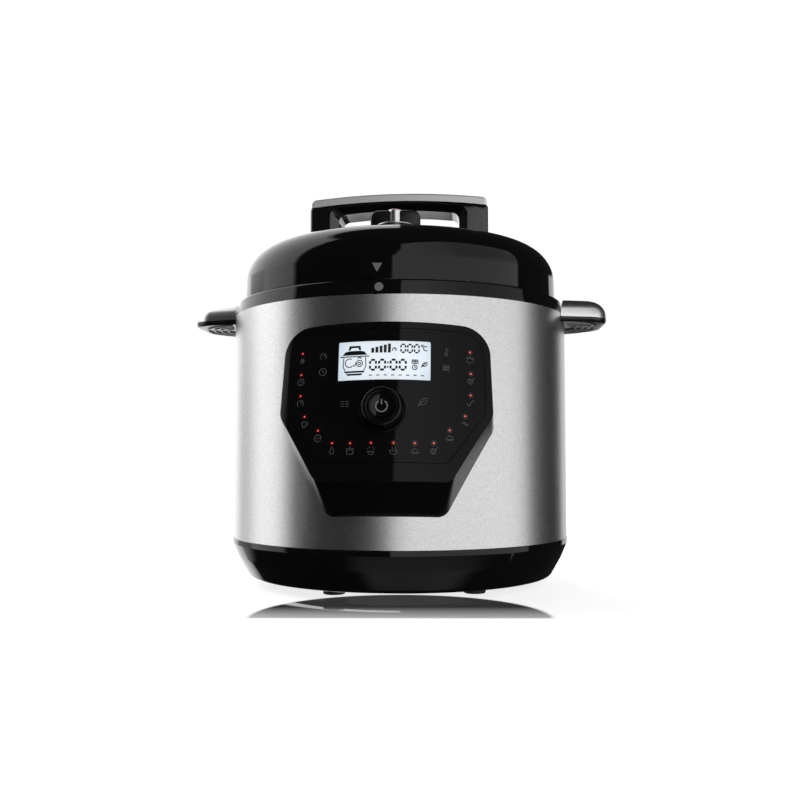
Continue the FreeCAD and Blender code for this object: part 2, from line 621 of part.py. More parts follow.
def control_panel():
    """Housing with its sloping chin, the glossy lens, display, lamps, board and dial."""
    body = cylinder(BODY_R, 0, 300)
    housing = panel_loft(-6.0, 70.0).common(face_drum(0.0))
    hollow = panel_loft(-6.0, 70.0, inset=2.6)
    housing = housing.cut(hollow.common(face_drum(LENS_T + 2.2)))
    housing = housing.cut(lens_prism(-LENS_GAP, -40, 10).common(face_drum(0).cut(face_drum(LENS_T + 0.05))))
    opening = lens_prism(4.0, -20, 10)
    housing = on_panel(housing.cut(opening)).cut(body)
    add("panel_housing", housing)

    lens = lens_prism(0.0, -40, 10).common(face_drum(0.0).cut(face_drum(LENS_T)))
    lens = lens.cut(display_prism(0.15, -20, 10)).cut(dial_cylinder(8.0, -20, 10))
    lamps = []
    for x, s in led_places():
        rod = Part.makeCylinder(LED_R, 40, Vector(x, s, -30), Vector(0, 0, 1))
        hole = Part.makeCylinder(LED_R + 0.1, 40, Vector(x, s, -30), Vector(0, 0, 1))
        lens = lens.cut(hole)
        lamps.append(on_panel(rod.common(face_drum(0.05).cut(face_drum(LED_DEPTH)))))
    add("panel_lens", on_panel(lens))
    add("status_lamps", *lamps)

    glass = display_prism(0.0, -20, 10).common(face_drum(0.25).cut(face_drum(LENS_T)))
    add("display_glass", on_panel(glass))
    frame = display_prism(3.0, -11.0, 0).common(face_drum(LENS_T + 0.01))
    add("display_backlight", on_panel(frame.cut(display_prism(-3.0, -9.0, -6.0))))

    board = panel_prism([(-48, 16, 3), (48, 16, 3), (48, 104, 3), (-48, 104, 3)], -16.0, -14.4)
    board = board.cut(dial_cylinder(2.6, -20, 0))
    add("control_board", on_panel(board))
    dial()


def dial():
    """Turning knob on a hollow encoder, round a fixed start button."""
    bezel = dial_cylinder(16.9, -0.6, 1.6).cut(dial_cylinder(15.5, -1, 3))
    rim = bezel.makeFillet(0.4, [e for e in bezel.Edges if abs(e.BoundBox.ZMin - 1.6) < 1e-4])
    pocket = dial_cylinder(16.9, -0.6, 5)
    lens = shapes["panel_lens"].cut(on_panel(pocket))
    add("panel_lens", lens)
    add("dial_bezel", on_panel(rim))

    knob = Part.Face(loop([(3.4, -6.8, 0), (6.0, -6.8, 0), (6.0, 1.2, 0), (DIAL_R, 1.2, 0.4),
                           (DIAL_R - 0.6, DIAL_H, 1.2), (11.6, DIAL_H, 0.4), (11.2, DIAL_H - 0.7, 0.3),
                           (8.9, DIAL_H - 0.7, 0.5), (8.9, 7.0, 0), (3.4, 7.0, 0)]))
    knob = knob.revolve(Vector(0, 0, 0), Vector(0, 1, 0), 360)
    knob.rotate(Vector(0, 0, 0), Vector(1, 0, 0), 90)
    knob.translate(Vector(0, DIAL_S, 0))
    grooves = []
    for i in range(48):
        angle = math.radians(i * 7.5)
        cutter = Part.makeCylinder(0.35, 7.0, Vector(DIAL_R * math.cos(angle),
                                   DIAL_S + DIAL_R * math.sin(angle), 2.6), Vector(0, 0, 1))
        grooves.append(cutter)
    add("dial_knob", on_panel(knob.cut(grooves)))

    button = dial_cylinder(8.5, 8.6, DIAL_H - 0.1).fuse(dial_cylinder(3.0, -9.0, 8.6))
    dish = Part.makeSphere(40.0, Vector(0, DIAL_S, DIAL_H - 1.0 + 40.0))
    add("start_button", on_panel(button.cut(dish)))
    encoder = panel_prism([(-8, DIAL_S - 8, 1), (8, DIAL_S - 8, 1), (8, DIAL_S + 8, 1),
                           (-8, DIAL_S + 8, 1)], -14.4, -7.2)
    encoder = encoder.cut(dial_cylinder(3.6, -20, 0)).fuse(dial_cylinder(2.4, -14.4, -10.3))
    encoder = encoder.fuse(dial_cylinder(4.0, -14.4, -13.4))
    add("dial_encoder", on_panel(encoder))


# ---- lid ----------------------------------------------------------------------------------
def cover_profile(offset):
    """Shoulder centre and the points where the wall, the shoulder and the dome meet."""
    wall_n = Vector(1, LID_DRAFT, 0).normalize()
    wall_d = Vector(-LID_DRAFT, 1, 0).normalize()
    foot = Vector(LID_WALL_R, LID_BOTTOM, 0)
    dome_c = Vector(0, LID_TOP - DOME_R, 0)
    start = foot - wall_n * SHOULDER_R - dome_c
    b, c = start.dot(wall_d), start.dot(start) - (DOME_R - SHOULDER_R) ** 2
    centre = start + dome_c + wall_d * (-b + math.sqrt(b * b - c))
    outward = (centre - dome_c).normalize()
    radius = SHOULDER_R - offset
    middle = (wall_n + outward).normalize()
    return dict(foot=foot - wall_n * offset, low=centre + wall_n * radius,
                mid=centre + middle * radius, high=centre + outward * radius,
                dome=dome_c, dome_r=DOME_R - offset)


def cover_solid(offset, bottom):
    """Closed solid inside the cover surface set in by offset, down to a height."""
    p = cover_profile(offset)
    slide = p["foot"] + Vector(-LID_DRAFT, 1, 0) * (bottom - p["foot"].y)
    apex = Vector(0, p["dome"].y + p["dome_r"], 0)
    half = math.asin(p["high"].x / p["dome_r"]) / 2
    crown = p["dome"] + Vector(math.sin(half), math.cos(half), 0) * p["dome_r"]
    edges = [Part.makeLine(Vector(0, bottom, 0), slide), Part.makeLine(slide, p["low"]),
             Part.Arc(p["low"], p["mid"], p["high"]).toShape(),
             Part.Arc(p["high"], crown, apex).toShape(),
             Part.makeLine(apex, Vector(0, bottom, 0))]
    wire = Part.Wire(edges)
    wire.rotate(Vector(0, 0, 0), Vector(1, 0, 0), 90)
    return Part.Face(wire).revolve(Vector(0, 0, 0), Z_AXIS, 360)


def cover_height(radius, offset):
    """Height of the domed surface set in by offset, at a distance from the axis."""
    return LID_TOP - DOME_R + math.sqrt((DOME_R - offset) ** 2 - radius ** 2)


def lid_cover():
    """Glossy outer cover, with four posts inside that the pressure plate is screwed to."""
    cover = cover_solid(0.0, LID_BOTTOM).cut(cover_solid(COVER_T, LID_BOTTOM - 1))
    inside = cover_solid(COVER_T / 2, PLATE_HIGH - 1)
    for angle in (45, 135, 225, 315):
        cover = cover.fuse(cylinder(5.0, PLATE_HIGH + PLATE_T, 308, *polar(80, angle)).common(inside))
    cover = cover.cut(cylinder(13.0, 280, 320, 0, VALVE_Y))
    cover = cover.cut(cylinder(4.2, 280, 320, FLOAT_X, FLOAT_Y))
    for x, y in GRIP_SCREWS:
        cover = cover.cut(cylinder(1.7, 280, 320, x, y))
    add("lid_cover", cover)


def lid_plate():
    """Pressed pressure plate: raised middle, skirt, and bayonet teeth turned inwards."""
    plate = turned([(0, PLATE_HIGH), (98, PLATE_HIGH, 2), (104, PLATE_LOW, 2),
                    (SKIRT_IN, PLATE_LOW, 2), (SKIRT_IN, SKIRT_BOTTOM), (SKIRT_OUT, SKIRT_BOTTOM),
                    (SKIRT_OUT, PLATE_LOW + PLATE_T, 3.5), (105, PLATE_LOW + PLATE_T, 2),
                    (99, PLATE_HIGH + PLATE_T, 2), (0, PLATE_HIGH + PLATE_T)])
    for i in range(LUG_COUNT):
        angle = (i + 0.5) * 360.0 / LUG_COUNT
        plate = plate.fuse(sector(LID_LUG_R, SKIRT_IN + 0.5, SKIRT_BOTTOM, SKIRT_BOTTOM + 2.6,
                                  angle, LUG_ANGLE))
    plate = plate.cut(cylinder(6.0, 240, 270, 0, VALVE_Y))
    plate = plate.cut(cylinder(7.0, 240, 270, FLOAT_X, FLOAT_Y))
    add("lid_plate", plate)


def seal():
    """Silicone ring with two lips, and the steel rack that holds it."""
    ring = turned([(111.2, 240.5, 1.2), (114.0, 240.5, 1.0), (115.2, 245.4, 1.0),
                   (119.8, 245.4, 1.0), (121.4, 240.5, 1.0), (125.0, 240.5, 1.4),
                   (125.6, 249.6, 1.5), (111.2, 249.6, 1.5)])
    add("sealing_ring", ring)
    rack = turned([(109.2, 240.8, 0.4), (110.4, 240.8, 0.4), (110.4, PLATE_LOW, 0.3), (109.2, PLATE_LOW, 0.3)])
    add("seal_rack", rack)


GRIP_SCREWS = [(-69.0, -9.0), (-69.0, 9.0), (69.0, -9.0), (69.0, 9.0)]


def arch(half_w, crown, sag, drop):
    """Edges of an outline with an arched top and a flat foot, corners rounded afterwards."""
    return dict(left=Vector(-half_w, 0, crown - sag), crown=Vector(0, 0, crown),
                right=Vector(half_w, 0, crown - sag), foot=drop)


def arched_prism(half_w, crown, sag, bottom, corner, depth0, depth1):
    """Front outline with an arched top edge, extruded in Y."""
    a = arch(half_w, crown, sag, bottom)
    edges = [Part.Arc(a["left"], a["crown"], a["right"]).toShape(),
             Part.makeLine(a["right"], Vector(half_w, 0, bottom)),
             Part.makeLine(Vector(half_w, 0, bottom), Vector(-half_w, 0, bottom)),
             Part.makeLine(Vector(-half_w, 0, bottom), a["left"])]
    wire = Part.Wire(edges)
    wire.translate(Vector(0, depth0, 0))
    solid = Part.Face(wire).extrude(Vector(0, depth1 - depth0, 0))
    tops = [e for e in solid.Edges
            if abs(e.BoundBox.YLength - abs(depth1 - depth0)) < 1e-3
            and e.BoundBox.ZMin > bottom + 1]
    return solid.makeFillet(corner, tops)


def lid_grip():
    """Bridge handle: arched frame with a bevelled opening, under a bright top strip."""
    low = LID_TOP - 12.0
    crown = GRIP_TOP - TRIM_T
    frame = arched_prism(GRIP_HALF_W, crown, GRIP_SAG + 0.4, low, 1.5, -GRIP_HALF_D, GRIP_HALF_D)
    uprights = [e for e in frame.Edges if e.BoundBox.ZLength > 20 and e.BoundBox.YLength < 1e-3]
    frame = frame.makeFillet(4.0, uprights)
    waist = arched_prism(GRIP_OPEN_W - GRIP_BEVEL_W, GRIP_OPEN_TOP - GRIP_BEVEL, GRIP_OPEN_SAG,
                         low - 5, 7.0, -GRIP_HALF_D - 1, GRIP_HALF_D + 1)
    frame = frame.cut(waist)
    for side in (-1, 1):
        wires = []
        for wide, high, y in ((0.0, 0.0, GRIP_HALF_D + 0.001),
                              (GRIP_BEVEL_W, GRIP_BEVEL, GRIP_HALF_D - GRIP_BEVEL)):
            prism = arched_prism(GRIP_OPEN_W - wide, GRIP_OPEN_TOP - high, GRIP_OPEN_SAG,
                                 low - 5, 8.0, 0.0, 1.0)
            face = [f for f in prism.Faces if abs(f.CenterOfMass.y) < 1e-6][0]
            wire = face.OuterWire.copy()
            wire.translate(Vector(0, side * y, 0))
            wires.append(wire)
        frame = frame.cut(Part.makeLoft(wires, True, True))
    frame = frame.cut(cover_solid(0.0, LID_BOTTOM))
    strip = arched_prism(GRIP_HALF_W - 1.3, GRIP_TOP, GRIP_SAG, crown - 12, 4.5,
                         -GRIP_HALF_D + 0.4, GRIP_HALF_D - 0.4)
    under = arched_prism(GRIP_HALF_W, crown, GRIP_SAG + 0.4, low, 0.01,
                         -GRIP_HALF_D - 2, GRIP_HALF_D + 2)
    strip = strip.cut(under)
    ridge = [e for e in strip.Edges if e.BoundBox.XLength > 100 and e.BoundBox.ZMax > GRIP_TOP - 0.1]
    strip = strip.makeFillet(1.6, ridge)
    screws = []
    seat = cover_height(math.hypot(72.2, 9.0), COVER_T) - 0.1
    for x, y in GRIP_SCREWS:
        frame = frame.cut(cylinder(1.6, low - 20, low + 26, x, y))
        head = cylinder(3.2, seat - 2.2, seat, x, y)
        screws.append(head.fuse(cylinder(1.6, seat, 320, x, y)).cut(cylinder(1.2, 280, seat - 1.2, x, y)))
    add("lid_grip", frame)
    add("grip_trim", strip)
    add("grip_screws", *screws)


def steam_valve():
    """Exhaust pipe, its nut and guard, and the turning valve with its weight."""
    x, y = 0.0, VALVE_Y
    pipe = cylinder(6.0, PLATE_HIGH, 300.0, x, y).fuse(cylinder(10.0, PLATE_HIGH - 1.6, PLATE_HIGH, x, y))
    nozzle = Part.makeCone(6.0, 3.4, 5.0, Vector(x, y, 300.0))
    pipe = pipe.fuse(nozzle).fuse(cylinder(5.0, 246.0, PLATE_HIGH, x, y)).cut(cylinder(1.8, 240, 310, x, y))
    add("exhaust_pipe", pipe)
    nut = Part.Face(Part.Wire(Part.makePolygon(
        [Vector(x + 10 * math.cos(math.radians(a)), y + 10 * math.sin(math.radians(a)),
                PLATE_HIGH + PLATE_T) for a in range(0, 361, 60)]))).extrude(Vector(0, 0, 5))
    add("pipe_nut", nut.cut(cylinder(6.0, 250, 270, x, y)))
    guard = turned([(0, 242.0), (16.0, 242.0, 3), (16.0, 254.4), (14.9, 254.4),
                    (14.9, 243.1, 2), (0, 243.1)])
    guard.translate(Vector(x, y, 0))
    for a in range(0, 360, 30):
        hx, hy = polar(16, a)
        guard = guard.cut(Part.makeCylinder(1.4, 8, Vector(x + hx * 0.75, y + hy * 0.75, 249),
                                            Vector(hx, hy, 0)))
        hx, hy = polar(9, a)
        guard = guard.cut(cylinder(1.4, 240, 245, x + hx, y + hy))
    add("steam_guard", guard)

    dish = turned([(7.2, 308.5), (16.4, 308.5, 1), (19.6, 310.8, 0.8), (18.8, 312.8, 0.5),
                   (7.2, 311.2)])
    dish.translate(Vector(x, y, 0))
    dish = dish.cut(cylinder(6.95, 300, 330, x, y))
    add("valve_dish", dish)
    wings = front_prism([(-21.2, 308.0, 0), (21.2, 308.0, 0), (21.2, 322.0, 8), (-21.2, 322.0, 8)],
                        y - 5.6, y + 5.6)
    uprights = [e for e in wings.Edges if e.BoundBox.ZLength > 5 and e.BoundBox.YLength < 1e-3]
    wings = wings.makeFillet(4.6, uprights)
    wings = wings.cut(cylinder(6.95, 300, 330, x, y)).cut(dish)
    wings = wings.cut(cylinder(30, 300, 309.4, x, y))
    add("valve_wings", wings.fuse(tube(6.95, 8.8, 309.4, 317.0, x, y).cut(dish)))
    weight = turned([(0, 302.2), (0.9, 302.2, 0), (1.3, 306.0), (6.75, 306.4, 0.4), (6.75, 323.4, 1.2),
                     (3.6, 323.4), (3.6, 322.0), (0, 322.0)])
    weight.translate(Vector(x, y, 0))
    add("valve_weight", weight)
    add("valve_marker", turned_at([(0, 322.0), (3.6, 322.0), (3.6, 324.4, 1.0), (0, 324.9)], x, y))


def turned_at(corners, x, y):
    piece = turned(corners)
    piece.translate(Vector(x, y, 0))
    return piece


def float_valve():
    """Pressure indicator pin that rises through the cover, with its guide and seal."""
    x, y = FLOAT_X, FLOAT_Y
    add("float_guide", turned_at([(4.6, PLATE_HIGH - 1.5), (9.5, PLATE_HIGH - 1.5), (9.5, PLATE_HIGH),
                                  (7.0, PLATE_HIGH), (7.0, 264.0), (4.6, 264.0)], x, y))
    add("float_pin", turned_at([(0, 244.5), (6.5, 244.5, 0.5), (6.5, 248.0, 0.5), (4.5, 248.0),
                                (4.5, 264.3), (6.2, 264.3), (6.2, 266.0), (2.2, 266.0),
                                (2.2, 304.5), (3.2, 304.5), (3.2, 306.6, 1.2), (0, 307.2)], x, y))


# ---- build --------------------------------------------------------------------------------
base_pan()
bottom_cover()
feet_and_screws()
power_board()
mains_inlet()
wiring()
body_shell()
top_ring()
drain_spout()
side_handles()
outer_pot()
inner_pot()
heater()
sensor()
pressure_switch()
heat_shield()
control_panel()
condensate_cup(-min(shapes["dial_knob"].optimalBoundingBox().YMin,
                    shapes["start_button"].optimalBoundingBox().YMin))
lid_cover()
lid_plate()
seal()
lid_grip()
steam_valve()
float_valve()

for name, shape in shapes.items():
    solids = shape.Solids
    wrong = [s for s in solids if not s.isValid() or s.Volume <= 0]
    print("%-20s solids %2d  volume %9.0f%s" % (name, len(solids), shape.Volume, "  INVALID" if wrong else ""))
    shape.exportStep("parts/%s.step" % name)
print(len(shapes), "nodes")
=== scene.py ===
import json
import math

import bpy
from mathutils import Matrix, Vector


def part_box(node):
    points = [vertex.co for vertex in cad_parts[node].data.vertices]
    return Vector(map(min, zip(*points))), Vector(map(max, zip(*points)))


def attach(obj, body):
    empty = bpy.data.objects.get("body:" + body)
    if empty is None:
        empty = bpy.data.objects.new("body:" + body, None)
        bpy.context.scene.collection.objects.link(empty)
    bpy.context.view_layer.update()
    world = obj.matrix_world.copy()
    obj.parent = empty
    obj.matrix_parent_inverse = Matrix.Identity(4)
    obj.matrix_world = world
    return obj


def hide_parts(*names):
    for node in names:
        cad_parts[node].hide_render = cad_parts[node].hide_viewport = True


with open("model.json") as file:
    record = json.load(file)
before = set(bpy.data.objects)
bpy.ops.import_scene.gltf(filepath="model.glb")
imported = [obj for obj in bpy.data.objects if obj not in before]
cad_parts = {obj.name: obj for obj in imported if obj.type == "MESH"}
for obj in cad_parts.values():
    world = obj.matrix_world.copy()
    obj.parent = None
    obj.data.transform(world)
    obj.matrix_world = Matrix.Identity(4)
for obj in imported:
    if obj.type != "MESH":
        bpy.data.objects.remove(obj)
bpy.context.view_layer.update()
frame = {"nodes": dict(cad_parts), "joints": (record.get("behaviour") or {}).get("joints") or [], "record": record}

mm = 0.001
joints = {joint["name"]: joint for joint in frame["joints"]}
print("frame loaded:", len(frame["nodes"]), "nodes")


# shader maths

class Value:
    # a socket that can be added, scaled and compared; each operator adds one Math node
    def __init__(self, finish, socket):
        self.finish = finish
        self.socket = socket

    def step(self, operation, first, second=0.0):
        return self.finish.add("ShaderNodeMath", {"operation": operation}, {0: first, 1: second})

    def __add__(self, other):
        return self.step("ADD", self, other)

    def __radd__(self, other):
        return self.step("ADD", other, self)

    def __sub__(self, other):
        return self.step("SUBTRACT", self, other)

    def __rsub__(self, other):
        return self.step("SUBTRACT", other, self)

    def __mul__(self, other):
        return self.step("MULTIPLY", self, other)

    def __rmul__(self, other):
        return self.step("MULTIPLY", other, self)

    def __truediv__(self, other):
        return self.step("DIVIDE", self, other)

    def __gt__(self, other):
        return self.step("GREATER_THAN", self, other)


class Nodes:
    # one node tree; a single method adds any node to it
    def __init__(self, tree):
        self.tree = tree

    def put(self, socket, value):
        if isinstance(value, Value):
            self.tree.links.new(value.socket, socket)
        else:
            socket.default_value = value

    def add(self, kind, settings, inputs, output=0):
        node = self.tree.nodes.new(kind)
        for key, value in settings.items():
            setattr(node, key, value)
        for key, value in inputs.items():
            self.put(node.inputs[key], value)
        return Value(self, node.outputs[output])


class Finish(Nodes):
    # one material: its Principled shader and the nodes in front of it
    def __init__(self, name, **sockets):
        self.material = bpy.data.materials.new(name)
        self.material.use_nodes = True
        super().__init__(self.material.node_tree)
        self.shader = self.tree.nodes["Principled BSDF"]
        for key, value in sockets.items():
            self.feed(key, value)

    def feed(self, key, value):
        # baseColor -> Base Color; a plain number or colour stays on the socket
        words = "".join(" " + c if c.isupper() else c for c in key).title()
        self.put(self.shader.inputs[words.replace("Ior", "IOR")], value)

    def place(self, scale=(1, 1, 1)):
        spot = self.add("ShaderNodeTexCoord", {}, {}, "Object")
        return self.add("ShaderNodeMapping", {}, {"Vector": spot, "Scale": scale})

    def noise(self, scale, detail=2.0, stretch=(1, 1, 1)):
        size = tuple(scale * s for s in stretch)
        return self.add("ShaderNodeTexNoise", {}, {"Vector": self.place(size), "Scale": 1.0,
                                                   "Detail": detail})

    def blend(self, factor, first, second):
        return self.add("ShaderNodeMix", {"data_type": "RGBA"}, {0: factor, 6: first, 7: second}, 2)

    def bump(self, height, depth, strength=1.0):
        self.feed("normal", self.add("ShaderNodeBump", {}, {"Height": height, "Distance": depth,
                                                            "Strength": strength}))


def grey(level, alpha=1.0):
    return (level, level, level, alpha)


# finishes

def brushedShell():
    # circumferential brushing: short level scratches, a little broken up
    look = {"bright": 1.0, "dark": 0.44, "roughness": 0.34, "spread": 0.08}
    steel = Finish("brushedShell", metallic=1.0, anisotropic=0.3, anisotropicRotation=0.25)
    scratches = steel.noise(1, 2.0, (420, 420, 1300))
    speckle = steel.noise(1, 1.0, (700, 700, 1100))
    grain = scratches * 0.6 + speckle * 0.4
    steel.feed("baseColor", steel.blend(grain, grey(look["dark"]), grey(look["bright"])))
    steel.feed("roughness", look["roughness"] + (scratches - 0.5) * look["spread"])
    steel.bump(grain, 0.00003, 0.4)
    return steel.material


def plainSteel(name, level, roughness, coarse):
    # rolled or drawn steel with faint level marks
    steel = Finish(name, metallic=1.0)
    marks = steel.noise(coarse, 3.0, (1, 1, 6))
    steel.feed("baseColor", steel.blend(marks, grey(level * 0.88), grey(level)))
    steel.feed("roughness", roughness + (marks - 0.5) * 0.12)
    steel.bump(marks, 0.00003, 0.4)
    return steel.material


def glossPlastic(name, colour, roughness, sheen=0.5):
    # polished moulding: almost a mirror, with a trace of flow and dust
    plastic = Finish(name, ior=1.5)
    plastic.shader.inputs["Specular IOR Level"].default_value = sheen
    flow = plastic.noise(14, 2.0)
    dust = plastic.noise(900, 2.0)
    plastic.feed("baseColor", plastic.blend(flow, colour, tuple(c * 1.5 for c in colour[:3]) + (1.0,)))
    plastic.feed("roughness", roughness + (dust > 0.72) * 0.04)
    plastic.bump(flow, 0.00002, 0.35)
    return plastic.material


def grainPlastic(name, colour, roughness, grain=1400):
    # moulded with a fine spark grain
    plastic = Finish(name, ior=1.47)
    pits = plastic.noise(grain, 3.0)
    shade = plastic.noise(25, 2.0)
    plastic.feed("baseColor", plastic.blend(shade, tuple(c * 0.8 for c in colour[:3]) + (1.0,), colour))
    plastic.feed("roughness", roughness + (pits - 0.5) * 0.2)
    plastic.bump(pits, 0.00006, 0.5)
    return plastic.material


def castMetal(name, colour, roughness):
    # sand-like casting skin
    metal = Finish(name, metallic=1.0)
    skin = metal.noise(420, 4.0)
    metal.feed("baseColor", metal.blend(skin, tuple(c * 0.8 for c in colour[:3]) + (1.0,), colour))
    metal.feed("roughness", roughness + (skin - 0.5) * 0.2)
    metal.bump(skin, 0.0001, 0.5)
    return metal.material


def coatedPot():
    # dark non-stick coat with light flecks
    coat = Finish("coatedPot")
    flecks = coat.noise(1600, 2.0) > 0.68
    coat.feed("baseColor", coat.blend(flecks, grey(0.035), grey(0.16)))
    coat.feed("roughness", 0.38 - flecks * 0.1)
    coat.bump(coat.noise(500, 2.0), 0.00005, 0.4)
    return coat.material


def circuitBoard():
    # green resist over tracks that run square to each other
    board = Finish("circuitBoard")
    across = board.add("ShaderNodeTexWave", {"bands_direction": "X"},
                       {"Vector": board.place(), "Scale": 90.0, "Distortion": 3.0}, "Fac")
    down = board.add("ShaderNodeTexWave", {"bands_direction": "Y"},
                     {"Vector": board.place(), "Scale": 90.0, "Distortion": 3.0}, "Fac")
    tracks = (across > 0.72) + (down > 0.82)
    board.feed("baseColor", board.blend(tracks, (0.012, 0.10, 0.035, 1), (0.04, 0.22, 0.08, 1)))
    board.feed("roughness", 0.32 - tracks * 0.08)
    board.bump(tracks, 0.00004, 0.5)
    return board.material


def litDisplay():
    # pale blue backlight, stronger in the middle
    look = {"middle": (0.86, 0.93, 1.0, 1), "edge": (0.50, 0.62, 0.74, 1), "strength": 0.88}
    glass = Finish("litDisplay", roughness=0.06, emissionStrength=look["strength"])
    low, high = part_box("display_glass")
    centre = (low + high) / 2
    spot = glass.add("ShaderNodeTexCoord", {}, {}, "Object")
    apart = glass.add("ShaderNodeSeparateXYZ", {}, {"Vector": spot}, "X")
    rise = glass.add("ShaderNodeSeparateXYZ", {}, {"Vector": spot}, "Z")
    side = (apart - centre.x) / ((high.x - low.x) / 2)
    up = (rise - centre.z) / ((high.z - low.z) / 2)
    away = side * side * side * side * 0.45 + up * up * 0.25
    cells = glass.noise(300, 1.0) * 0.06
    glow = glass.blend(away + cells, look["middle"], look["edge"])
    glass.feed("baseColor", glass.blend(away, grey(0.25), grey(0.12)))
    glass.feed("emissionColor", glow)
    return glass.material


def lampFinish(name, dim, bright, strength):
    # red light, a little uneven
    lamp = Finish(name, roughness=0.15, emissionStrength=strength, ior=1.45)
    glow = lamp.noise(700, 1.0)
    lamp.feed("baseColor", lamp.blend(glow, (0.01, 0.0, 0.0, 1), (0.02, 0.001, 0.001, 1)))
    lamp.feed("emissionColor", lamp.blend(glow, dim, bright))
    return lamp.material


def silicone():
    rubber = Finish("sealSilicone", roughness=0.35, subsurfaceWeight=0.3)
    film = rubber.noise(120, 2.0)
    rubber.feed("baseColor", rubber.blend(film, (0.62, 0.62, 0.58, 1), (0.78, 0.78, 0.75, 1)))
    rubber.bump(film, 0.00005, 0.3)
    return rubber.material


def smokedCup():
    # tinted clear moulding
    cup = Finish("smokedCup", transmissionWeight=0.8, ior=1.45)
    haze = cup.noise(60, 2.0)
    cup.feed("baseColor", cup.blend(haze, (0.42, 0.44, 0.46, 1), (0.52, 0.54, 0.56, 1)))
    cup.feed("roughness", 0.08 + haze * 0.12)
    return cup.material


def fleck(name, colour, roughness):
    # unglazed or sleeved insulation
    body = Finish(name)
    specks = body.noise(800, 3.0)
    body.feed("baseColor", body.blend(specks, tuple(c * 0.8 for c in colour[:3]) + (1.0,), colour))
    body.feed("roughness", roughness + (specks - 0.5) * 0.2)
    body.bump(specks, 0.00005, 0.4)
    return body.material


def printInk(name, colour, roughness=0.5):
    ink = Finish(name)
    wear = ink.noise(500, 2.0)
    ink.feed("baseColor", ink.blend(wear, tuple(c * 0.75 for c in colour[:3]) + (1.0,), colour))
    ink.feed("roughness", roughness + wear * 0.1)
    return ink.material


finishes = {
    "steel_shell": brushedShell(),
    "steel": plainSteel("pressedSteel", 0.60, 0.25, 90),
    "polished": plainSteel("satinChrome", 0.88, 0.30, 260),
    "spring_steel": plainSteel("drawnSteel", 0.42, 0.32, 300),
    "gloss_black": glossPlastic("glossBlack", (0.006, 0.006, 0.0065, 1), 0.035, 0.34),
    "panel_black": glossPlastic("panelGloss", (0.006, 0.006, 0.0065, 1), 0.04, 0.16),
    "black": grainPlastic("grainBlack", (0.012, 0.012, 0.013, 1), 0.22),
    "component": glossPlastic("componentBlack", (0.02, 0.02, 0.022, 1), 0.25),
    "display": litDisplay(),
    "lamp": lampFinish("redLamp", (0.22, 0.004, 0.002, 1), (0.36, 0.012, 0.006, 1), 1.0),
    "red": glossPlastic("markerRed", (0.45, 0.012, 0.008, 1), 0.2),
    "aluminium": castMetal("castAluminium", (0.62, 0.62, 0.63, 1), 0.38),
    "brass": castMetal("platedBrass", (0.66, 0.50, 0.24, 1), 0.25),
    "silicone": silicone(),
    "rubber": fleck("footRubber", (0.022, 0.022, 0.022, 1), 0.7),
    "wire": fleck("sleevedWire", (0.10, 0.10, 0.11, 1), 0.5),
    "ceramic_white": fleck("ceramicWhite", (0.72, 0.71, 0.67, 1), 0.55),
    "board": circuitBoard(),
    "clear": smokedCup(),
    "inner": coatedPot(),
}
for part in frame["record"]["subparts"]:
    mesh = frame["nodes"][part["node"]].data
    mesh.materials.clear()
    mesh.materials.append(finishes[part["material_slot"]])
ownFinishes = {
    "bottom_cover": fleck("coverBlack", (0.01, 0.01, 0.01, 1), 0.8),
    "lid_grip": glossPlastic("bridgeBlack", (0.009, 0.009, 0.0095, 1), 0.10, 0.85),
    "grip_trim": plainSteel("bridgeTrim", 0.98, 0.44, 260),
}
for node, material in ownFinishes.items():
    frame["nodes"][node].data.materials[0] = material
# painted highlight: the ribs of the black grips are given a lighter grey so that they show as light arcs, as the
# light on them would
ribHighlightGrey = grainPlastic("ribHighlightGrey", (0.30, 0.30, 0.31, 1), 0.30)
markInk = printInk("markInk", (0.30, 0.30, 0.31, 1))
iconInk = printInk("iconInk", (0.20, 0.20, 0.21, 1))
brightInk = printInk("brightInk", (0.42, 0.42, 0.44, 1))
coreLight = lampFinish("coreLight", (0.85, 0.10, 0.08, 1), (1.0, 0.24, 0.2, 1), 1.0)
haloLight = lampFinish("haloLight", (0.018, 0.0, 0.0, 1), (0.03, 0.001, 0.001, 1), 1.0)
segmentInk = printInk("segmentInk", (0.012, 0.016, 0.022, 1), 0.3)
print("finishes made:", len(bpy.data.materials))


# helpers for modelling; their sizes are in millimetres

def clearSelection():
    if bpy.context.mode != "OBJECT":
        bpy.ops.object.mode_set(mode="OBJECT")
    bpy.ops.object.select_all(action="DESELECT")


def takeUp(piece):
    clearSelection()
    piece.select_set(True)
    bpy.context.view_layer.objects.active = piece


def joined(parts):
    # several pieces become the first one
    clearSelection()
    for part in parts:
        part.select_set(True)
    bpy.context.view_layer.objects.active = parts[0]
    bpy.ops.object.join()
    return parts[0]


def finishPiece(piece, name, body, material, replaced=()):
    # settles a piece: its place goes into its mesh, then it rides on its body
    takeUp(piece)
    bpy.ops.object.transform_apply(location=True, rotation=True, scale=True)
    piece.name = name
    piece.data.name = name
    piece.data.materials.clear()
    piece.data.materials.append(material)
    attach(piece, body)
    if replaced:
        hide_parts(*replaced)
    return piece


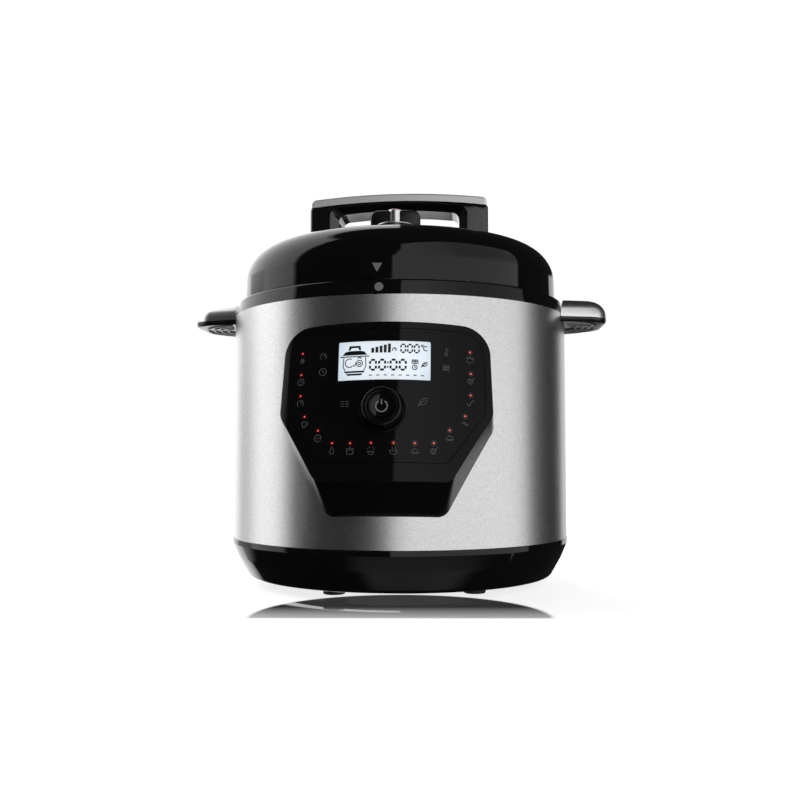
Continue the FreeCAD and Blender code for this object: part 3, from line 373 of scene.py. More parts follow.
def strokeMesh(strokes, width, height):
    # flat-topped strokes; each stroke is (points, closed)
    bpy.ops.object.add(type="CURVE")
    drawn = bpy.context.object
    drawn.data.dimensions = "3D"
    drawn.data.bevel_depth = width * mm / math.sqrt(2)
    drawn.data.bevel_resolution = 0
    drawn.data.use_fill_caps = True
    for corners, closed in strokes:
        points = inShortSteps(corners, closed)
        spline = drawn.data.splines.new("POLY")
        spline.points.add(len(points) - 1)
        for knot, (x, y) in zip(spline.points, points):
            knot.co = (x * mm, y * mm, 0, 1)
            knot.tilt = math.pi / 4
        spline.use_cyclic_u = closed
    takeUp(drawn)
    bpy.ops.object.convert(target="MESH")
    flatten = height / width
    for vertex in drawn.data.vertices:
        vertex.co.z *= flatten
    return drawn


def inShortSteps(corners, closed, longest=1.6):
    # extra points along the long runs, so that a drawing can follow a curved face
    points = []
    ends = corners[1:] + corners[:1] if closed else corners[1:]
    for (x0, y0), (x1, y1) in zip(corners, ends):
        count = max(1, math.ceil(math.hypot(x1 - x0, y1 - y0) / longest))
        points += [(x0 + (x1 - x0) * i / count, y0 + (y1 - y0) * i / count) for i in range(count)]
    return points if closed else points + [corners[-1]]


def fillMesh(shapes, height):
    # filled flat shapes
    bpy.ops.object.add(type="CURVE")
    drawn = bpy.context.object
    drawn.data.dimensions = "2D"
    drawn.data.fill_mode = "BOTH"
    drawn.data.extrude = height * mm / 2
    for points in shapes:
        spline = drawn.data.splines.new("POLY")
        spline.points.add(len(points) - 1)
        for knot, (x, y) in zip(spline.points, points):
            knot.co = (x * mm, y * mm, 0, 1)
        spline.use_cyclic_u = True
    takeUp(drawn)
    bpy.ops.object.convert(target="MESH")
    bpy.ops.object.mode_set(mode="EDIT")
    # narrow strips, so that the drawing can follow a curved face
    widest = 1.5 * mm
    low = min(vertex.co.x for vertex in drawn.data.vertices)
    high = max(vertex.co.x for vertex in drawn.data.vertices)
    strips = max(2, math.ceil((high - low) / widest))
    for i in range(1, strips):
        bpy.ops.mesh.select_all(action="SELECT")
        bpy.ops.mesh.bisect(plane_co=(low + (high - low) * i / strips, 0, 0), plane_no=(1, 0, 0))
    bpy.ops.object.mode_set(mode="OBJECT")
    return drawn


def ring(x, y, radius, start=0.0, end=360.0, steps=20):
    turn = end - start
    whole = abs(turn) >= 360
    count = steps if whole else steps + 1
    points = [(x + radius * math.cos(math.radians(start + turn * i / steps)),
               y + radius * math.sin(math.radians(start + turn * i / steps))) for i in range(count)]
    return points, whole


def line(*points):
    return list(points), False


def outline(*points):
    return list(points), True


def pick(piece, kind, test):
    # leaves edit mode on, with only the wanted faces or edges selected
    takeUp(piece)
    bpy.ops.object.mode_set(mode="EDIT")
    bpy.ops.mesh.select_mode(type=kind)
    bpy.ops.mesh.select_all(action="DESELECT")
    bpy.ops.object.mode_set(mode="OBJECT")
    mesh = piece.data
    if kind == "FACE":
        for face in mesh.polygons:
            face.select = test(face.center / mm, face.normal)
    else:
        for edge in mesh.edges:
            first, last = (mesh.vertices[i].co / mm for i in edge.vertices)
            edge.select = test(first, last)
    bpy.ops.object.mode_set(mode="EDIT")


def roundOff(piece, radius, steps, test):
    pick(piece, "EDGE", test)
    bpy.ops.mesh.bevel(offset=radius * mm, segments=steps, profile=0.5)
    bpy.ops.object.mode_set(mode="OBJECT")


def block(low, high):
    # a box between two corners, its size already in its mesh
    clearSelection()
    centre = (Vector(low) + Vector(high)) * mm / 2
    bpy.ops.mesh.primitive_cube_add(size=1, location=centre, scale=(Vector(high) - Vector(low)) * mm)
    piece = bpy.context.object
    bpy.ops.object.transform_apply(location=True, rotation=True, scale=True)
    return piece


def cutRound(piece, radius, x, y, low, high):
    # takes a round bore, or the body's own round, out of a piece
    clearSelection()
    bpy.ops.mesh.primitive_cylinder_add(vertices=256, radius=radius * mm, depth=(high - low) * mm,
                                        location=(x * mm, y * mm, (low + high) / 2 * mm))
    cutter = bpy.context.object
    takeUp(piece)
    cut = piece.modifiers.new("bore", "BOOLEAN")
    cut.object = cutter
    bpy.ops.object.modifier_apply(modifier=cut.name)
    bpy.data.objects.remove(cutter)


def smooth(piece, angle):
    takeUp(piece)
    bpy.ops.object.shade_smooth_by_angle(angle=math.radians(angle))


def mirrored(piece):
    # copy on the object's other side, with its own mesh
    other = piece.copy()
    other.data = piece.data.copy()
    bpy.context.scene.collection.objects.link(other)
    other.scale.x = -1
    takeUp(other)
    bpy.ops.object.transform_apply(location=True, rotation=True, scale=True)
    bpy.ops.object.mode_set(mode="EDIT")
    bpy.ops.mesh.select_all(action="SELECT")
    bpy.ops.mesh.normals_make_consistent(inside=False)
    bpy.ops.object.mode_set(mode="OBJECT")
    return other


def turned(profile, sides=192):
    # closed profile of (radius, height) pairs, drawn out ring by ring
    clearSelection()
    radius, height = profile[0]
    bpy.ops.mesh.primitive_circle_add(vertices=sides, radius=radius * mm, location=(0, 0, height * mm))
    piece = bpy.context.object
    bpy.ops.object.transform_apply(location=True, rotation=True, scale=True)
    bpy.ops.object.mode_set(mode="EDIT")
    bpy.ops.mesh.select_all(action="SELECT")
    for nextRadius, nextHeight in profile[1:] + profile[:1]:
        bpy.ops.mesh.extrude_region_move(TRANSFORM_OT_translate={"value": (0, 0, (nextHeight - height) * mm)})
        scale = nextRadius / radius
        bpy.ops.transform.resize(value=(scale, scale, 1), center_override=(0, 0, nextHeight * mm))
        radius, height = nextRadius, nextHeight
    bpy.ops.mesh.select_all(action="SELECT")
    bpy.ops.mesh.remove_doubles(threshold=0.01 * mm)
    bpy.ops.mesh.normals_make_consistent(inside=False)
    bpy.ops.object.mode_set(mode="OBJECT")
    return piece


def softCorner(before, corner, after, radius, steps=6):
    # points of an arc that rounds one corner of a profile
    back = (Vector(before) - Vector(corner)).normalized()
    ahead = (Vector(after) - Vector(corner)).normalized()
    half = back.angle(ahead) / 2
    reach = radius / math.tan(half)
    centre = Vector(corner) + (back + ahead).normalized() * (radius / math.sin(half))
    first, last = Vector(corner) + back * reach, Vector(corner) + ahead * reach
    turn = math.atan2(*reversed(last - centre)) - math.atan2(*reversed(first - centre))
    turn = (turn + math.pi) % (2 * math.pi) - math.pi
    arm = first - centre
    points = []
    for i in range(steps + 1):
        a = turn * i / steps
        points.append((centre.x + arm.x * math.cos(a) - arm.y * math.sin(a),
                       centre.y + arm.x * math.sin(a) + arm.y * math.cos(a)))
    return points


def rounded(corners):
    # (radius, height, rounding) corners of a closed profile -> all its points
    points = []
    for i, (r, z, soft) in enumerate(corners):
        before, after = corners[i - 1][:2], corners[(i + 1) % len(corners)][:2]
        points += softCorner(before, (r, z), after, soft) if soft else [(r, z)]
    return points


# the panel's own coordinates

panel = {
    "centre": Vector(joints["dial_turn"]["pos_m"]),
    "out": Vector(joints["dial_turn"]["axis"]).normalized(),
    "curve": 150.0 * mm,           # radius of the face
    "glass": -0.25 * mm,           # the display lies a little behind the face
    "glassRise": 38.3 * mm,        # display centre above the dial's centre
}
panel["up"] = panel["out"].cross(Vector((1, 0, 0))).normalized()


def layOnPanel(piece, right, up, lift):
    # wraps a flat drawing on the curved face, with its middle right of and above the dial's centre
    for vertex in piece.data.vertices:
        across = vertex.co.x + right
        drop = panel["curve"] - math.sqrt(panel["curve"] ** 2 - across ** 2)
        vertex.co = (panel["centre"] + Vector((across, 0, 0)) + panel["up"] * (vertex.co.y + up)
                     + panel["out"] * (vertex.co.z + lift - drop))


# printed icons round the panel

def potIcon():
    return [outline((-2.4, 0.8), (-2.4, -1.6), (-1.6, -2.4), (1.6, -2.4), (2.4, -1.6), (2.4, 0.8)),
            line((-3.0, 1.6), (3.0, 1.6)), line((-0.7, 2.5), (0.7, 2.5))]


def bowlIcon():
    return [ring(0, 0, 2.7, 180, 360), line((-3.1, 0), (3.1, 0)), line((-1, 1), (-0.5, 1.8), (-1, 2.6)),
            line((1, 1), (1.5, 1.8), (1, 2.6))]


def dropIcon():
    return [outline((0, 3.0), (1.3, 0.8), (1.7, -0.6), (1.2, -1.9), (0, -2.5), (-1.2, -1.9), (-1.7, -0.6),
                    (-1.3, 0.8))]


def panIcon():
    return [ring(-0.4, -0.3, 2.0), ring(-0.4, -0.3, 1.1), line((1.1, 1.2), (3.0, 3.0))]


def sparkIcon():
    rays = [line((2.1 * math.cos(a), 0.2 + 2.1 * math.sin(a)), (3.0 * math.cos(a), 0.2 + 3.0 * math.sin(a)))
            for a in (math.radians(d) for d in (25, 60, 120, 155))]
    return [ring(0, -0.6, 2.2, 180, 360), line((-2.4, -0.6), (2.4, -0.6))] + rays


def waveIcon():
    swell = [(x * 0.4, 0.5 * math.sin(x * 1.3)) for x in range(-4, 5)]
    return [ring(0, 0, 2.6), (swell, False)]


def domeIcon():
    return [ring(0, -0.8, 2.4, 0, 180), line((-3.0, -0.9), (3.0, -0.9)), line((-2.2, -1.8), (2.2, -1.8)),
            line((-0.3, 2.1), (0.3, 2.1))]


def ladleIcon():
    return [line((2.6, 2.6), (-0.6, -0.4)), ring(-1.6, -1.2, 1.2, 150, 400)]


def skewerIcon():
    return [line((-2.8, 0.6), (2.8, -0.6)), line((-1.4, 1.2), (0.6, 0.8)), line((-0.4, -0.7), (1.6, -1.1))]


def cupIcon():
    return [outline((-1.8, 1.6), (-1.4, -2.2), (1.4, -2.2), (1.8, 1.6)), ring(2.2, 0, 0.9, -90, 90)]


def iceIcon():
    return [line((math.cos(a) * -2.4, math.sin(a) * -2.4), (math.cos(a) * 2.4, math.sin(a) * 2.4))
            for a in (math.radians(d) for d in (0, 60, 120))]


def leafIcon(size=1.0):
    blade = [(-2.2, -1.6), (-1.4, 0.6), (0.4, 2.0), (2.6, 2.4), (2.2, 0.2), (0.8, -1.6), (-2.2, -1.6)]
    vein = [(-3.0, -2.6), (-0.4, -0.2), (1.2, 1.2)]
    return [outline(*((x * size, y * size) for x, y in blade)),
            line(*((x * size, y * size) for x, y in vein))]


def clockIcon(size=1.0):
    return [ring(0, 0, 2.5 * size), line((0, 1.5 * size), (0, 0), (1.2 * size, -0.6 * size))]


def gaugeIcon(size=1.0):
    return [ring(0, 0, 2.5 * size, -50, 230), line((0, 0), (1.1 * size, 1.3 * size))]


def listIcon():
    rows = []
    for y in (1.8, 0, -1.8):
        rows += [line((-3.0, y), (-0.4, y)), line((0.6, y), (3.0, y))]
    return rows


def thermometerIcon():
    return [ring(0, -1.7, 1.1), line((0, -0.6), (0, 2.8)), line((0.9, 1.0), (1.7, 1.0)),
            line((0.9, 2.2), (1.7, 2.2))]


def gridIcon():
    bars = [line((x, -2.4), (x, 2.4)) for x in (-1.8, -0.6, 0.6, 1.8)]
    return bars + [line((-2.4, y), (2.4, y)) for y in (-1.2, 0.6)]


def programmeIcons():
    # one dim pictogram under each lamp, taken round the panel from the lamps' own places
    look = {"width": 0.36, "height": 0.08, "below": 5.8 * mm, "lift": 0.02 * mm, "hub": 5 * mm}
    drawings = [iceIcon, clockIcon, gaugeIcon, cupIcon, waveIcon, dropIcon, potIcon, sparkIcon,
                bowlIcon, domeIcon, panIcon, domeIcon, skewerIcon, ladleIcon, panIcon, potIcon]
    places = sorted(lampPlaces(), reverse=True,
                    key=lambda spot: math.atan2(spot[0], spot[1] - look["hub"]) % (2 * math.pi))
    parts = []
    for drawing, (right, up) in zip(drawings, places):
        icon = strokeMesh(drawing(), look["width"], look["height"])
        layOnPanel(icon, right, up - look["below"], look["lift"])
        parts.append(icon)
    finishPiece(joined(parts), "programmeIcons", "housing", iconInk)


def lampCores():
    # the bright point in the middle of each lamp, and the faint glow on the panel round it
    look = {"thick": 0.05 * mm, "sides": 24}
    discKinds = (("lampCores", coreLight, 0.62, 0.02), ("lampGlow", haloLight, 2.1, -0.03))
    for name, material, radius, lift in discKinds:
        discs = []
        for right, up in lampPlaces():
            clearSelection()
            bpy.ops.mesh.primitive_circle_add(vertices=look["sides"], radius=radius * mm, fill_type="TRIFAN")
            disc = bpy.context.object
            bpy.ops.object.mode_set(mode="EDIT")
            bpy.ops.mesh.select_all(action="SELECT")
            bpy.ops.mesh.extrude_region_move(TRANSFORM_OT_translate={"value": (0, 0, look["thick"])})
            bpy.ops.object.mode_set(mode="OBJECT")
            layOnPanel(disc, right, up, lift * mm)
            discs.append(disc)
        finishPiece(joined(discs), name, "housing", material)


def lampPlaces():
    # middle of each lamp, right of and above the dial's centre
    apart = 3.0 * mm               # corners nearer than this belong to one lamp
    found = []
    for vertex in frame["nodes"]["status_lamps"].data.vertices:
        offset = vertex.co - panel["centre"]
        spot = (offset.x, offset.dot(panel["up"]))
        near = [group for group in found if math.dist(group[0], spot) < apart]
        if near:
            near[0].append(spot)
        else:
            found.append([spot])
    middles = []
    for group in found:
        xs = [p[0] for p in group]
        ys = [p[1] for p in group]
        middles.append(((min(xs) + max(xs)) / 2, (min(ys) + max(ys)) / 2))
    return middles


def touchIcons():
    # touch keys at both sides of the display and of the dial
    look = {"width": 0.38, "height": 0.08, "lift": 0.02 * mm}
    keys = [(gaugeIcon(), -46.6, 43.4), (clockIcon(1.1), -46.6, 31.5), (listIcon(), -28.6, 5.3),
            (leafIcon(1.3), 28.8, 6.6), (thermometerIcon(), 45.9, 46.4), (gridIcon(), 45.9, 33.9)]
    parts = []
    for strokes, right, up in keys:
        icon = strokeMesh(strokes, look["width"], look["height"])
        layOnPanel(icon, right * mm, up * mm, look["lift"])
        parts.append(icon)
    finishPiece(joined(parts), "touchIcons", "housing", iconInk)


def zeroFigure(x, y, w, h, gap):
    # the six lit segments of a nought
    a, b = w / 2, h / 2
    level = [line((x - a + gap, y + side), (x + a - gap, y + side)) for side in (b, -b)]
    upright = []
    for side in (-a, a):
        upright += [line((x + side, y + b - gap), (x + side, y + gap)),
                    line((x + side, y - gap), (x + side, y - b + gap))]
    return level + upright


def shifted(strokes, right, up):
    return [([(x + right, y + up) for x, y in points], closed) for points, closed in strokes]


def displayFigures():
    # everything that the display shows, one piece: all in millimetres from the display's centre
    look = {"small": (3.3, 6.2, 0.55), "large": (4.4, 7.6, 0.75), "height": 0.06, "lift": 0.04 * mm}
    fine, small, large, bars = [], [], [], []
    for x in (14.2, 19.2, 24.2):
        small += zeroFigure(x, 9.2, *look["small"])
    for x in (-8.1, -1.3, 7.2, 14.0):
        large += zeroFigure(x, -3.6, *look["large"])
    small += [line((2.9, -1.3), (3.0, -2.6)), line((2.8, -4.8), (2.9, -6.1))]
    for i in range(5):
        x = -8.5 + 3.1 * i
        bars.append(line((x, 5.8), (x, 9.6 + 0.8 * i)))
    fine += shifted(gaugeIcon(0.55), 7.6, 8.2)
    fine += [ring(28.3, 11.6, 0.7, steps=12), ring(30.9, 9.6, 1.7, 50, 310)]
    fine += [outline((20.8, 0.4), (25.2, 0.4), (25.2, -2.4), (20.8, -2.4)),
             line((20.8, -0.6), (25.2, -0.6)), line((22.3, 0.4), (22.3, -2.4)),
             line((23.7, 0.4), (23.7, -2.4))]
    fine += shifted(clockIcon(0.7), 22.9, -5.4)
    fine += shifted(leafIcon(0.8), 29.9, -3.0)
    for i in range(8):
        fine.append(line((-11.0 + 5.5 * i, -11.6), (-8.6 + 5.5 * i, -11.6)))
    fine += cookerPicture()
    parts = []
    for strokes, width in ((fine, 0.7), (small, 1.2), (large, 1.6), (bars, 2.2)):
        parts.append(strokeMesh(strokes, width, look["height"]))
    parts.append(fillMesh(cookerShapes(), look["height"]))
    for part in parts:
        layOnPanel(part, 0, panel["glassRise"], panel["glass"] + look["lift"])
    finishPiece(joined(parts), "displayFigures", "housing", segmentInk)


def cookerPicture():
    # small drawing of the cooker at the display's left end: its body and what is in it
    return [line((-30.4, 2.6), (-30.8, -4.4), (-29.2, -7.4)),
            line((-13.8, 2.6), (-13.4, -4.4), (-15.0, -7.4)),
            ring(-25.9, -1.6, 3.3, 60, 310), ring(-18.4, -2.2, 2.4), ring(-18.4, 1.0, 1.5, 10, 170),
            line((-23.6, -3.4), (-22.0, -4.4), (-20.8, -1.0)), ring(-18.4, -2.2, 1.0)]


def cookerShapes():
    # its filled parts: bridge handle, lid, ring and base
    return [[(-27.0, 8.3), (-26.2, 11.6), (-18.0, 11.6), (-17.2, 8.3), (-18.9, 8.3), (-19.4, 10.0),
             (-24.8, 10.0), (-25.3, 8.3)],
            [(-31.6, 4.4), (-29.4, 7.0), (-26.4, 7.7), (-17.8, 7.7), (-14.8, 7.0), (-12.6, 4.4)],
            [(-33.6, 3.7), (-10.6, 3.7), (-11.4, 2.9), (-32.8, 2.9)],
            [(-30.2, -7.9), (-14.0, -7.9), (-15.0, -9.3), (-29.2, -9.3)],
            [(-28.6, -10.0), (-15.6, -10.0), (-17.0, -11.4), (-27.2, -11.4)]]


# marks on the lid, the ring and the dial

def closingMarks():
    # triangle on the lid over a dot on the ring; turns are from the front, in degrees
    look = {"thick": 0.15 * mm, "triangle": 4.6, "corner": 0.5, "rise": 9.6, "lidSlope": -0.02, "turn": -2.9,
            "dot": 3.4, "rim": 1.1, "ringFoot": (148.0, 233.4), "ringTop": (145.4, 245.2), "dotAt": 239.2,
            "ringTurn": -1.9}
    low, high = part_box("lid_cover")
    bpy.ops.mesh.primitive_circle_add(vertices=3, radius=look["triangle"] * mm, fill_type="NGON")
    triangle = bpy.context.object
    bpy.ops.object.mode_set(mode="EDIT")
    bpy.ops.mesh.bevel(offset=look["corner"] * mm, segments=3, affect="VERTICES")
    bpy.ops.mesh.extrude_region_move(TRANSFORM_OT_translate={"value": (0, 0, look["thick"])})
    bpy.ops.object.mode_set(mode="OBJECT")
    wrapOnWall(triangle, (high.x - low.x) / 2, look["lidSlope"], low.z, low.z + look["rise"] * mm,
               look["turn"], math.pi)
    finishPiece(triangle, "lidMark", "lid", markInk)
    bpy.ops.mesh.primitive_circle_add(vertices=32, radius=look["dot"] * mm, fill_type="NGON")
    dot = bpy.context.object
    bpy.ops.object.mode_set(mode="EDIT")
    bpy.ops.mesh.inset(thickness=look["rim"] * mm, depth=0)
    bpy.ops.mesh.select_all(action="SELECT")
    bpy.ops.mesh.extrude_region_move(TRANSFORM_OT_translate={"value": (0, 0, look["thick"])})
    bpy.ops.object.mode_set(mode="OBJECT")
    low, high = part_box("top_ring")
    footRadius, foot = look["ringFoot"]
    topRadius, top = look["ringTop"]
    slope = -(footRadius - topRadius) / (top - foot)
    wrapOnWall(dot, (high.x - low.x) / 2, slope, foot * mm, look["dotAt"] * mm, look["ringTurn"], 0)
    finishPiece(dot, "ringMark", "housing", markInk)


def wrapOnWall(piece, radius, slope, foot, height, turn, spin):
    # flat piece -> standing on a conical wall; slope is the change of radius with height
    sunk = 0.03 * mm
    for vertex in piece.data.vertices:
        flat = vertex.co.copy()
        flat.rotate(Matrix.Rotation(spin, 3, "Z"))
        up = flat.y + height
        reach = radius + (up - foot) * slope + flat.z - sunk
        angle = math.radians(turn) + flat.x / radius
        vertex.co = (reach * math.sin(angle), -reach * math.cos(angle), up)


def dialMark():
    # power sign in the dish of the start button
    look = {"width": 0.9, "height": 0.1, "dish": 40.0 * mm, "deep": 0.9 * mm, "lift": 0.03 * mm}
    mark = strokeMesh([ring(0, 0, 4.2, 120, 420), line((0, 1.2), (0, 4.9))], look["width"], look["height"])
    corners = frame["nodes"]["start_button"].data.vertices
    top = max((corner.co - panel["centre"]).dot(panel["out"]) for corner in corners)
    for vertex in mark.data.vertices:
        away = math.hypot(vertex.co.x, vertex.co.y)
        sag = look["dish"] - math.sqrt(look["dish"] ** 2 - away ** 2)
        rise = top - look["deep"] + sag + vertex.co.z + look["lift"]
        vertex.co = (panel["centre"] + Vector((vertex.co.x, 0, 0)) + panel["up"] * vertex.co.y
                     + panel["out"] * rise)
    finishPiece(mark, "buttonMark", "button", brightInk)


# rebuilt mouldings

def bowlBase():
    # bowl under the shell: (radius, height, rounding) of its corners, the outside first
    floor, inside, lip, step = 6.8, 9.3, 41.0, 46.0
    corners = [(112.2, floor, 0), (133.5, floor, 7), (143.5, 24.5, 25), (148.6, 36.6, 1.2), (148.6, lip, 0.5),
               (147.1, lip, 0), (147.1, step, 0), (144.9, step, 0), (144.9, 38.2, 2), (140.6, 25.8, 20),
               (132.0, inside, 5), (112.2, inside, 0)]
    bowl = turned(rounded(corners))
    smooth(bowl, 30)
    finishPiece(bowl, "bowlBase", "housing", finishes["gloss_black"], ["base_pan"])


def handleForm(look, half, tip, corner, low, high):
    # block that narrows towards its tip, where its two upright corners are rounded
    form = block((look["root"], -half, low), (tip, half, high))
    pick(form, "FACE", lambda at, out: out.x > 0.9)
    narrow = look["tipHalf"] / look["rootHalf"]
    bpy.ops.transform.resize(value=(1, narrow, 1), center_override=(0, 0, 0))
    roundOff(form, corner, 10, lambda a, b: min(a.x, b.x) > tip - 1 and abs(a.z - b.z) > 2)
    return form


def ribWalls(look):
    # round walls standing side by side
    walls = []
    for radius in look["ribs"]:
        outer = radius + look["ribThick"]
        walls.append(turned([(radius, 205), (outer, 205), (outer, 240), (radius, 240)], 128))
        for vertex in walls[-1].data.vertices:
            vertex.co.x += look["ribMiddle"] * mm
    return joined(walls)


def sideHandle():
    # bright cap over a ribbed grip, first on the right and then copied to the left
    look = {"root": 140.0, "tip": 183.4, "split": 230.6, "top": 246.4, "rootHalf": 45.0, "tipHalf": 34.0,
            "corner": 17.0, "capRound": 14.0, "gripRound": 2.6, "under": 226.6, "gap": 0.3,
            "shell": 148.3, "ribShell": 150.5, "ribInset": 3.5, "ribTip": 4.5, "ribOut": 1.2, "ribTop": 228.6,
            "ribs": (38.5, 32.5, 26.5, 20.5), "ribThick": 1.3, "ribMiddle": 138}

    def isOuter(a, b):
        return max(a.x, b.x) > look["root"] + 0.1

    def isOnTop(a, b):
        return min(a.z, b.z) > look["top"] - 0.1

    def isUnder(a, b):
        return max(a.z, b.z) < look["under"] + 0.1

    half, tip, corner = look["rootHalf"], look["tip"], look["corner"]
    cap = handleForm(look, half, tip, corner, look["split"], look["top"])
    grip = handleForm(look, half, tip, corner, look["under"], look["split"] - look["gap"])
    roundOff(cap, look["capRound"], 8, lambda a, b: isOnTop(a, b) and isOuter(a, b))
    roundOff(grip, look["gripRound"], 6, lambda a, b: isUnder(a, b) and isOuter(a, b))
    # the ribs stand a little out of the underside
    ribs = handleForm(look, half - look["ribInset"], tip - look["ribTip"], corner - 4.0,
                      look["under"] - look["ribOut"], look["ribTop"])
    walls = ribWalls(look)
    takeUp(ribs)
    meet = ribs.modifiers.new("meet", "BOOLEAN")
    meet.operation = "INTERSECT"
    meet.object = walls
    bpy.ops.object.modifier_apply(modifier=meet.name)
    bpy.data.objects.remove(walls)
    for piece, clear in ((cap, look["shell"]), (grip, look["shell"]), (ribs, look["ribShell"])):
        cutRound(piece, clear, 0, 0, 200, 260)
    # the ribs take the grey finish, a painted highlight on what is black grip plastic
    for piece, name, slot, shade, kind in ((cap, "handleCap", "polished", finishes["polished"], "handle_cap"),
                                           (grip, "handleGrip", "black", finishes["black"], "side_handle"),
                                           (ribs, "handleRibs", "black", ribHighlightGrey, "")):
        smooth(piece, 35)
        other = mirrored(piece)
        for half, side in ((piece, "Right"), (other, "Left")):
            hidden = [kind + "_" + side.lower()] if kind else []
            finishPiece(half, name + side, "housing", shade, hidden)


def steamValve():
    # turning wings with the plug's bore between them, on a low dish
    look = {"y": -50.0, "bore": 6.95, "half": 21.4, "deep": 5.6, "low": 309.9, "high": 322.6, "endRound": 6.5,
            "edgeRound": 2.2, "dish": 16.8, "dishThick": 1.2, "dishMiddle": 309.2, "dishRound": 0.5}
    wings = block((-look["half"], look["y"] - look["deep"], look["low"]),
                  (look["half"], look["y"] + look["deep"], look["high"]))
    roundOff(wings, look["endRound"], 6,
             lambda a, b: min(a.z, b.z) > look["high"] - 0.1 and abs(a.x - b.x) < 0.1)
    roundOff(wings, look["edgeRound"], 4,
             lambda a, b: abs(a.y - b.y) < 0.1 and max(a.z, b.z) > look["low"] + 0.1)
    clearSelection()
    bpy.ops.mesh.primitive_cylinder_add(vertices=96, radius=look["dish"] * mm, depth=look["dishThick"] * mm,
                                        location=(0, look["y"] * mm, look["dishMiddle"] * mm))
    dish = bpy.context.object
    bpy.ops.object.transform_apply(location=True, rotation=True, scale=True)
    roundOff(dish, look["dishRound"], 3, lambda a, b: abs(a.z - b.z) < 0.1)
    for piece, name, slot, hidden in ((wings, "valveWings", "black", "valve_wings"),
                                      (dish, "valveDish", "polished", "valve_dish")):
        cutRound(piece, look["bore"], 0, look["y"], 300, 330)
        smooth(piece, 40)
        finishPiece(piece, name, "valve_knob", finishes[slot], [hidden])


bowlBase()
sideHandle()
steamValve()
print("mouldings rebuilt")
programmeIcons()
touchIcons()
lampCores()
displayFigures()
closingMarks()
dialMark()
print("printed marks laid")


# stage: floor, studio and camera

camera = {
    "turn": math.radians(4.35),    # the object's front is turned a little away
    "distance": 829.5 * mm,
    "height": 112.8 * mm,
    "tilt": 0.059,                 # looks slightly up
    "lens": 41.03,
}


def studio():
    # light boxes and dark gaps round the object, as bearings from the camera's side and heights above level,
    # all in degrees: low and high bearing, bottom and top, softness, strength
    boxes = [(-116, -81, -22, 12, 3, 1.3), (-181, -116, -22, 12, 3, 0.55), (-181, -81, 12, 62, 3, 1.7),
             (-181, -141, -26, 12.5, 2, 0.9), (141, 181, -8, 12.5, 1, 1.0), (-40, 70, -76, -46, 12, 0.35)]
    main = {"low": -6, "high": 93, "bottom": -22, "top": 56, "soft": 1, "strength": 1.02,
            "lean": 0.12, "archMiddle": 0.7, "arch": 0.3, "sideDim": 0.5}
    room = {"dim": 0.02, "backdrop": 1.02}
    world = bpy.data.worlds.new("studio")
    world.use_nodes = True
    bpy.context.scene.world = world
    nodes = Nodes(world.node_tree)
    backdrop = world.node_tree.nodes["Background"]
    heading = nodes.add("ShaderNodeTexCoord", {}, {}, "Generated")
    x, y, z = (nodes.add("ShaderNodeSeparateXYZ", {}, {"Vector": heading}, axis) for axis in "XYZ")
    sin, cos = math.sin(camera["turn"]), math.cos(camera["turn"])
    ahead = x * sin - y * cos
    right = x * cos + y * sin
    bearing = nodes.add("ShaderNodeMath", {"operation": "ARCTAN2"}, {0: right, 1: ahead})
    rise = nodes.add("ShaderNodeMath", {"operation": "ARCSINE"}, {0: z})
    smoothly = {"interpolation_type": "SMOOTHSTEP"}

    def window(value, low, high, soft):
        low, high, soft = math.radians(low), math.radians(high), math.radians(soft)
        enter = nodes.add("ShaderNodeMapRange", smoothly, {0: value, 1: low - soft, 2: low + soft})
        leave = nodes.add("ShaderNodeMapRange", smoothly, {0: value, 1: high - soft, 2: high + soft})
        return enter - leave

    light = room["dim"]
    for low, high, bottom, top, soft, strength in boxes:
        light = light + window(bearing, low, high, soft) * window(rise, bottom, top, soft) * strength
    # the main box on the right leans, has an arched top and dims sideways in its upper part
    lean = nodes.add("ShaderNodeMapRange", smoothly, {0: rise, 1: 0.16, 2: 0.62, 3: 0.0, 4: main["lean"]})
    upper = nodes.add("ShaderNodeMapRange", smoothly, {0: rise, 1: 0.18, 2: 0.45})
    aside = nodes.add("ShaderNodeMapRange", smoothly, {0: bearing, 1: 0.0, 2: 1.1})
    arch = (bearing - main["archMiddle"]) * (bearing - main["archMiddle"]) * main["arch"]
    inside = window(bearing - lean, main["low"], main["high"], main["soft"])
    inside = inside * window(rise + arch, main["bottom"], main["top"], main["soft"])
    light = light + inside * main["strength"] * (1 - upper * aside * main["sideDim"])
    seen = nodes.add("ShaderNodeLightPath", {}, {}, "Is Camera Ray")
    nodes.put(backdrop.inputs["Strength"], seen * room["backdrop"] + (1 - seen) * light)
    backdrop.inputs["Color"].default_value = (1, 1, 1, 1)


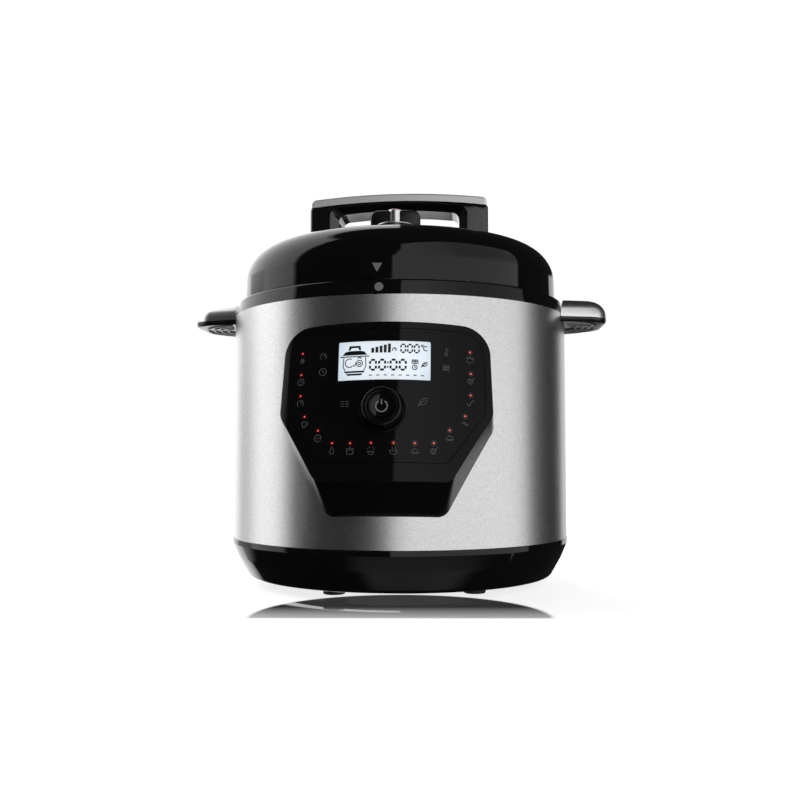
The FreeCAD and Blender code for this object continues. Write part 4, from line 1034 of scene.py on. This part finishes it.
def floorPlane():
    # pale polished floor; its mirror is an oval patch before the object that ends on a straight edge
    look = {"half": 6.0, "below": 0.2 * mm, "centre": (0, 0.19, 0), "across": (1 / 0.108, 1 / 0.103, 1),
            "near": -0.192, "edge": 0.004, "far": -0.148, "least": 0.60, "most": 0.97, "polish": 0.03}
    clearSelection()
    bpy.ops.mesh.primitive_plane_add(size=look["half"] * 2, location=(0, 0, -look["below"]))
    floor = bpy.context.object
    floor.name = "floor"
    pale = Finish("floorPale", roughness=0.55, emissionStrength=0.80, baseColor=grey(0.8),
                  emissionColor=grey(1.0))
    flat = pale.add("ShaderNodeTexCoord", {}, {}, "Object")
    spot = pale.add("ShaderNodeVectorRotate", {"rotation_type": "Z_AXIS"},
                    {"Vector": flat, "Angle": -camera["turn"]})
    moved = pale.add("ShaderNodeVectorMath", {"operation": "ADD"}, {0: spot, 1: look["centre"]})
    spread = pale.add("ShaderNodeVectorMath", {"operation": "MULTIPLY"}, {0: moved, 1: look["across"]})
    away = pale.add("ShaderNodeVectorMath", {"operation": "LENGTH"}, {0: spread}, "Value")
    ahead = pale.add("ShaderNodeSeparateXYZ", {}, {"Vector": spot}, "Y")
    oval = pale.add("ShaderNodeMapRange", {}, {0: away, 1: 0.96, 2: 1.0, 3: 1.0, 4: 0.0})
    front = pale.add("ShaderNodeMapRange", {}, {0: ahead, 1: look["near"] - look["edge"], 2: look["near"]})
    depth = pale.add("ShaderNodeMapRange", {}, {0: ahead, 1: look["near"], 2: look["far"],
                                                3: look["least"], 4: look["most"]})
    gloss = pale.add("ShaderNodeBsdfGlossy", {}, {"Roughness": look["polish"]})
    plain = Value(pale, pale.shader.outputs[0])
    mixed = pale.add("ShaderNodeMixShader", {}, {0: oval * front * depth, 1: plain, 2: gloss})
    pale.put(pale.tree.nodes["Material Output"].inputs[0], mixed)
    floor.data.materials.append(pale.material)
    floor.visible_glossy = False
    floor.visible_diffuse = False


def cameraStand():
    turn, tilt = camera["turn"], camera["tilt"]
    away = camera["distance"]
    place = Vector((math.sin(turn) * away, -math.cos(turn) * away, camera["height"]))
    look = Vector((-math.sin(turn) * math.cos(tilt), math.cos(turn) * math.cos(tilt), math.sin(tilt)))
    bpy.ops.object.camera_add(location=place)
    eye = bpy.context.object
    eye.rotation_euler = look.to_track_quat("-Z", "Y").to_euler()
    eye.data.lens = camera["lens"]
    eye.data.sensor_width = 36.0
    bpy.context.scene.camera = eye


studio()
floorPlane()
cameraStand()
bpy.context.scene.view_settings.view_transform = "Standard"
print("studio ready")
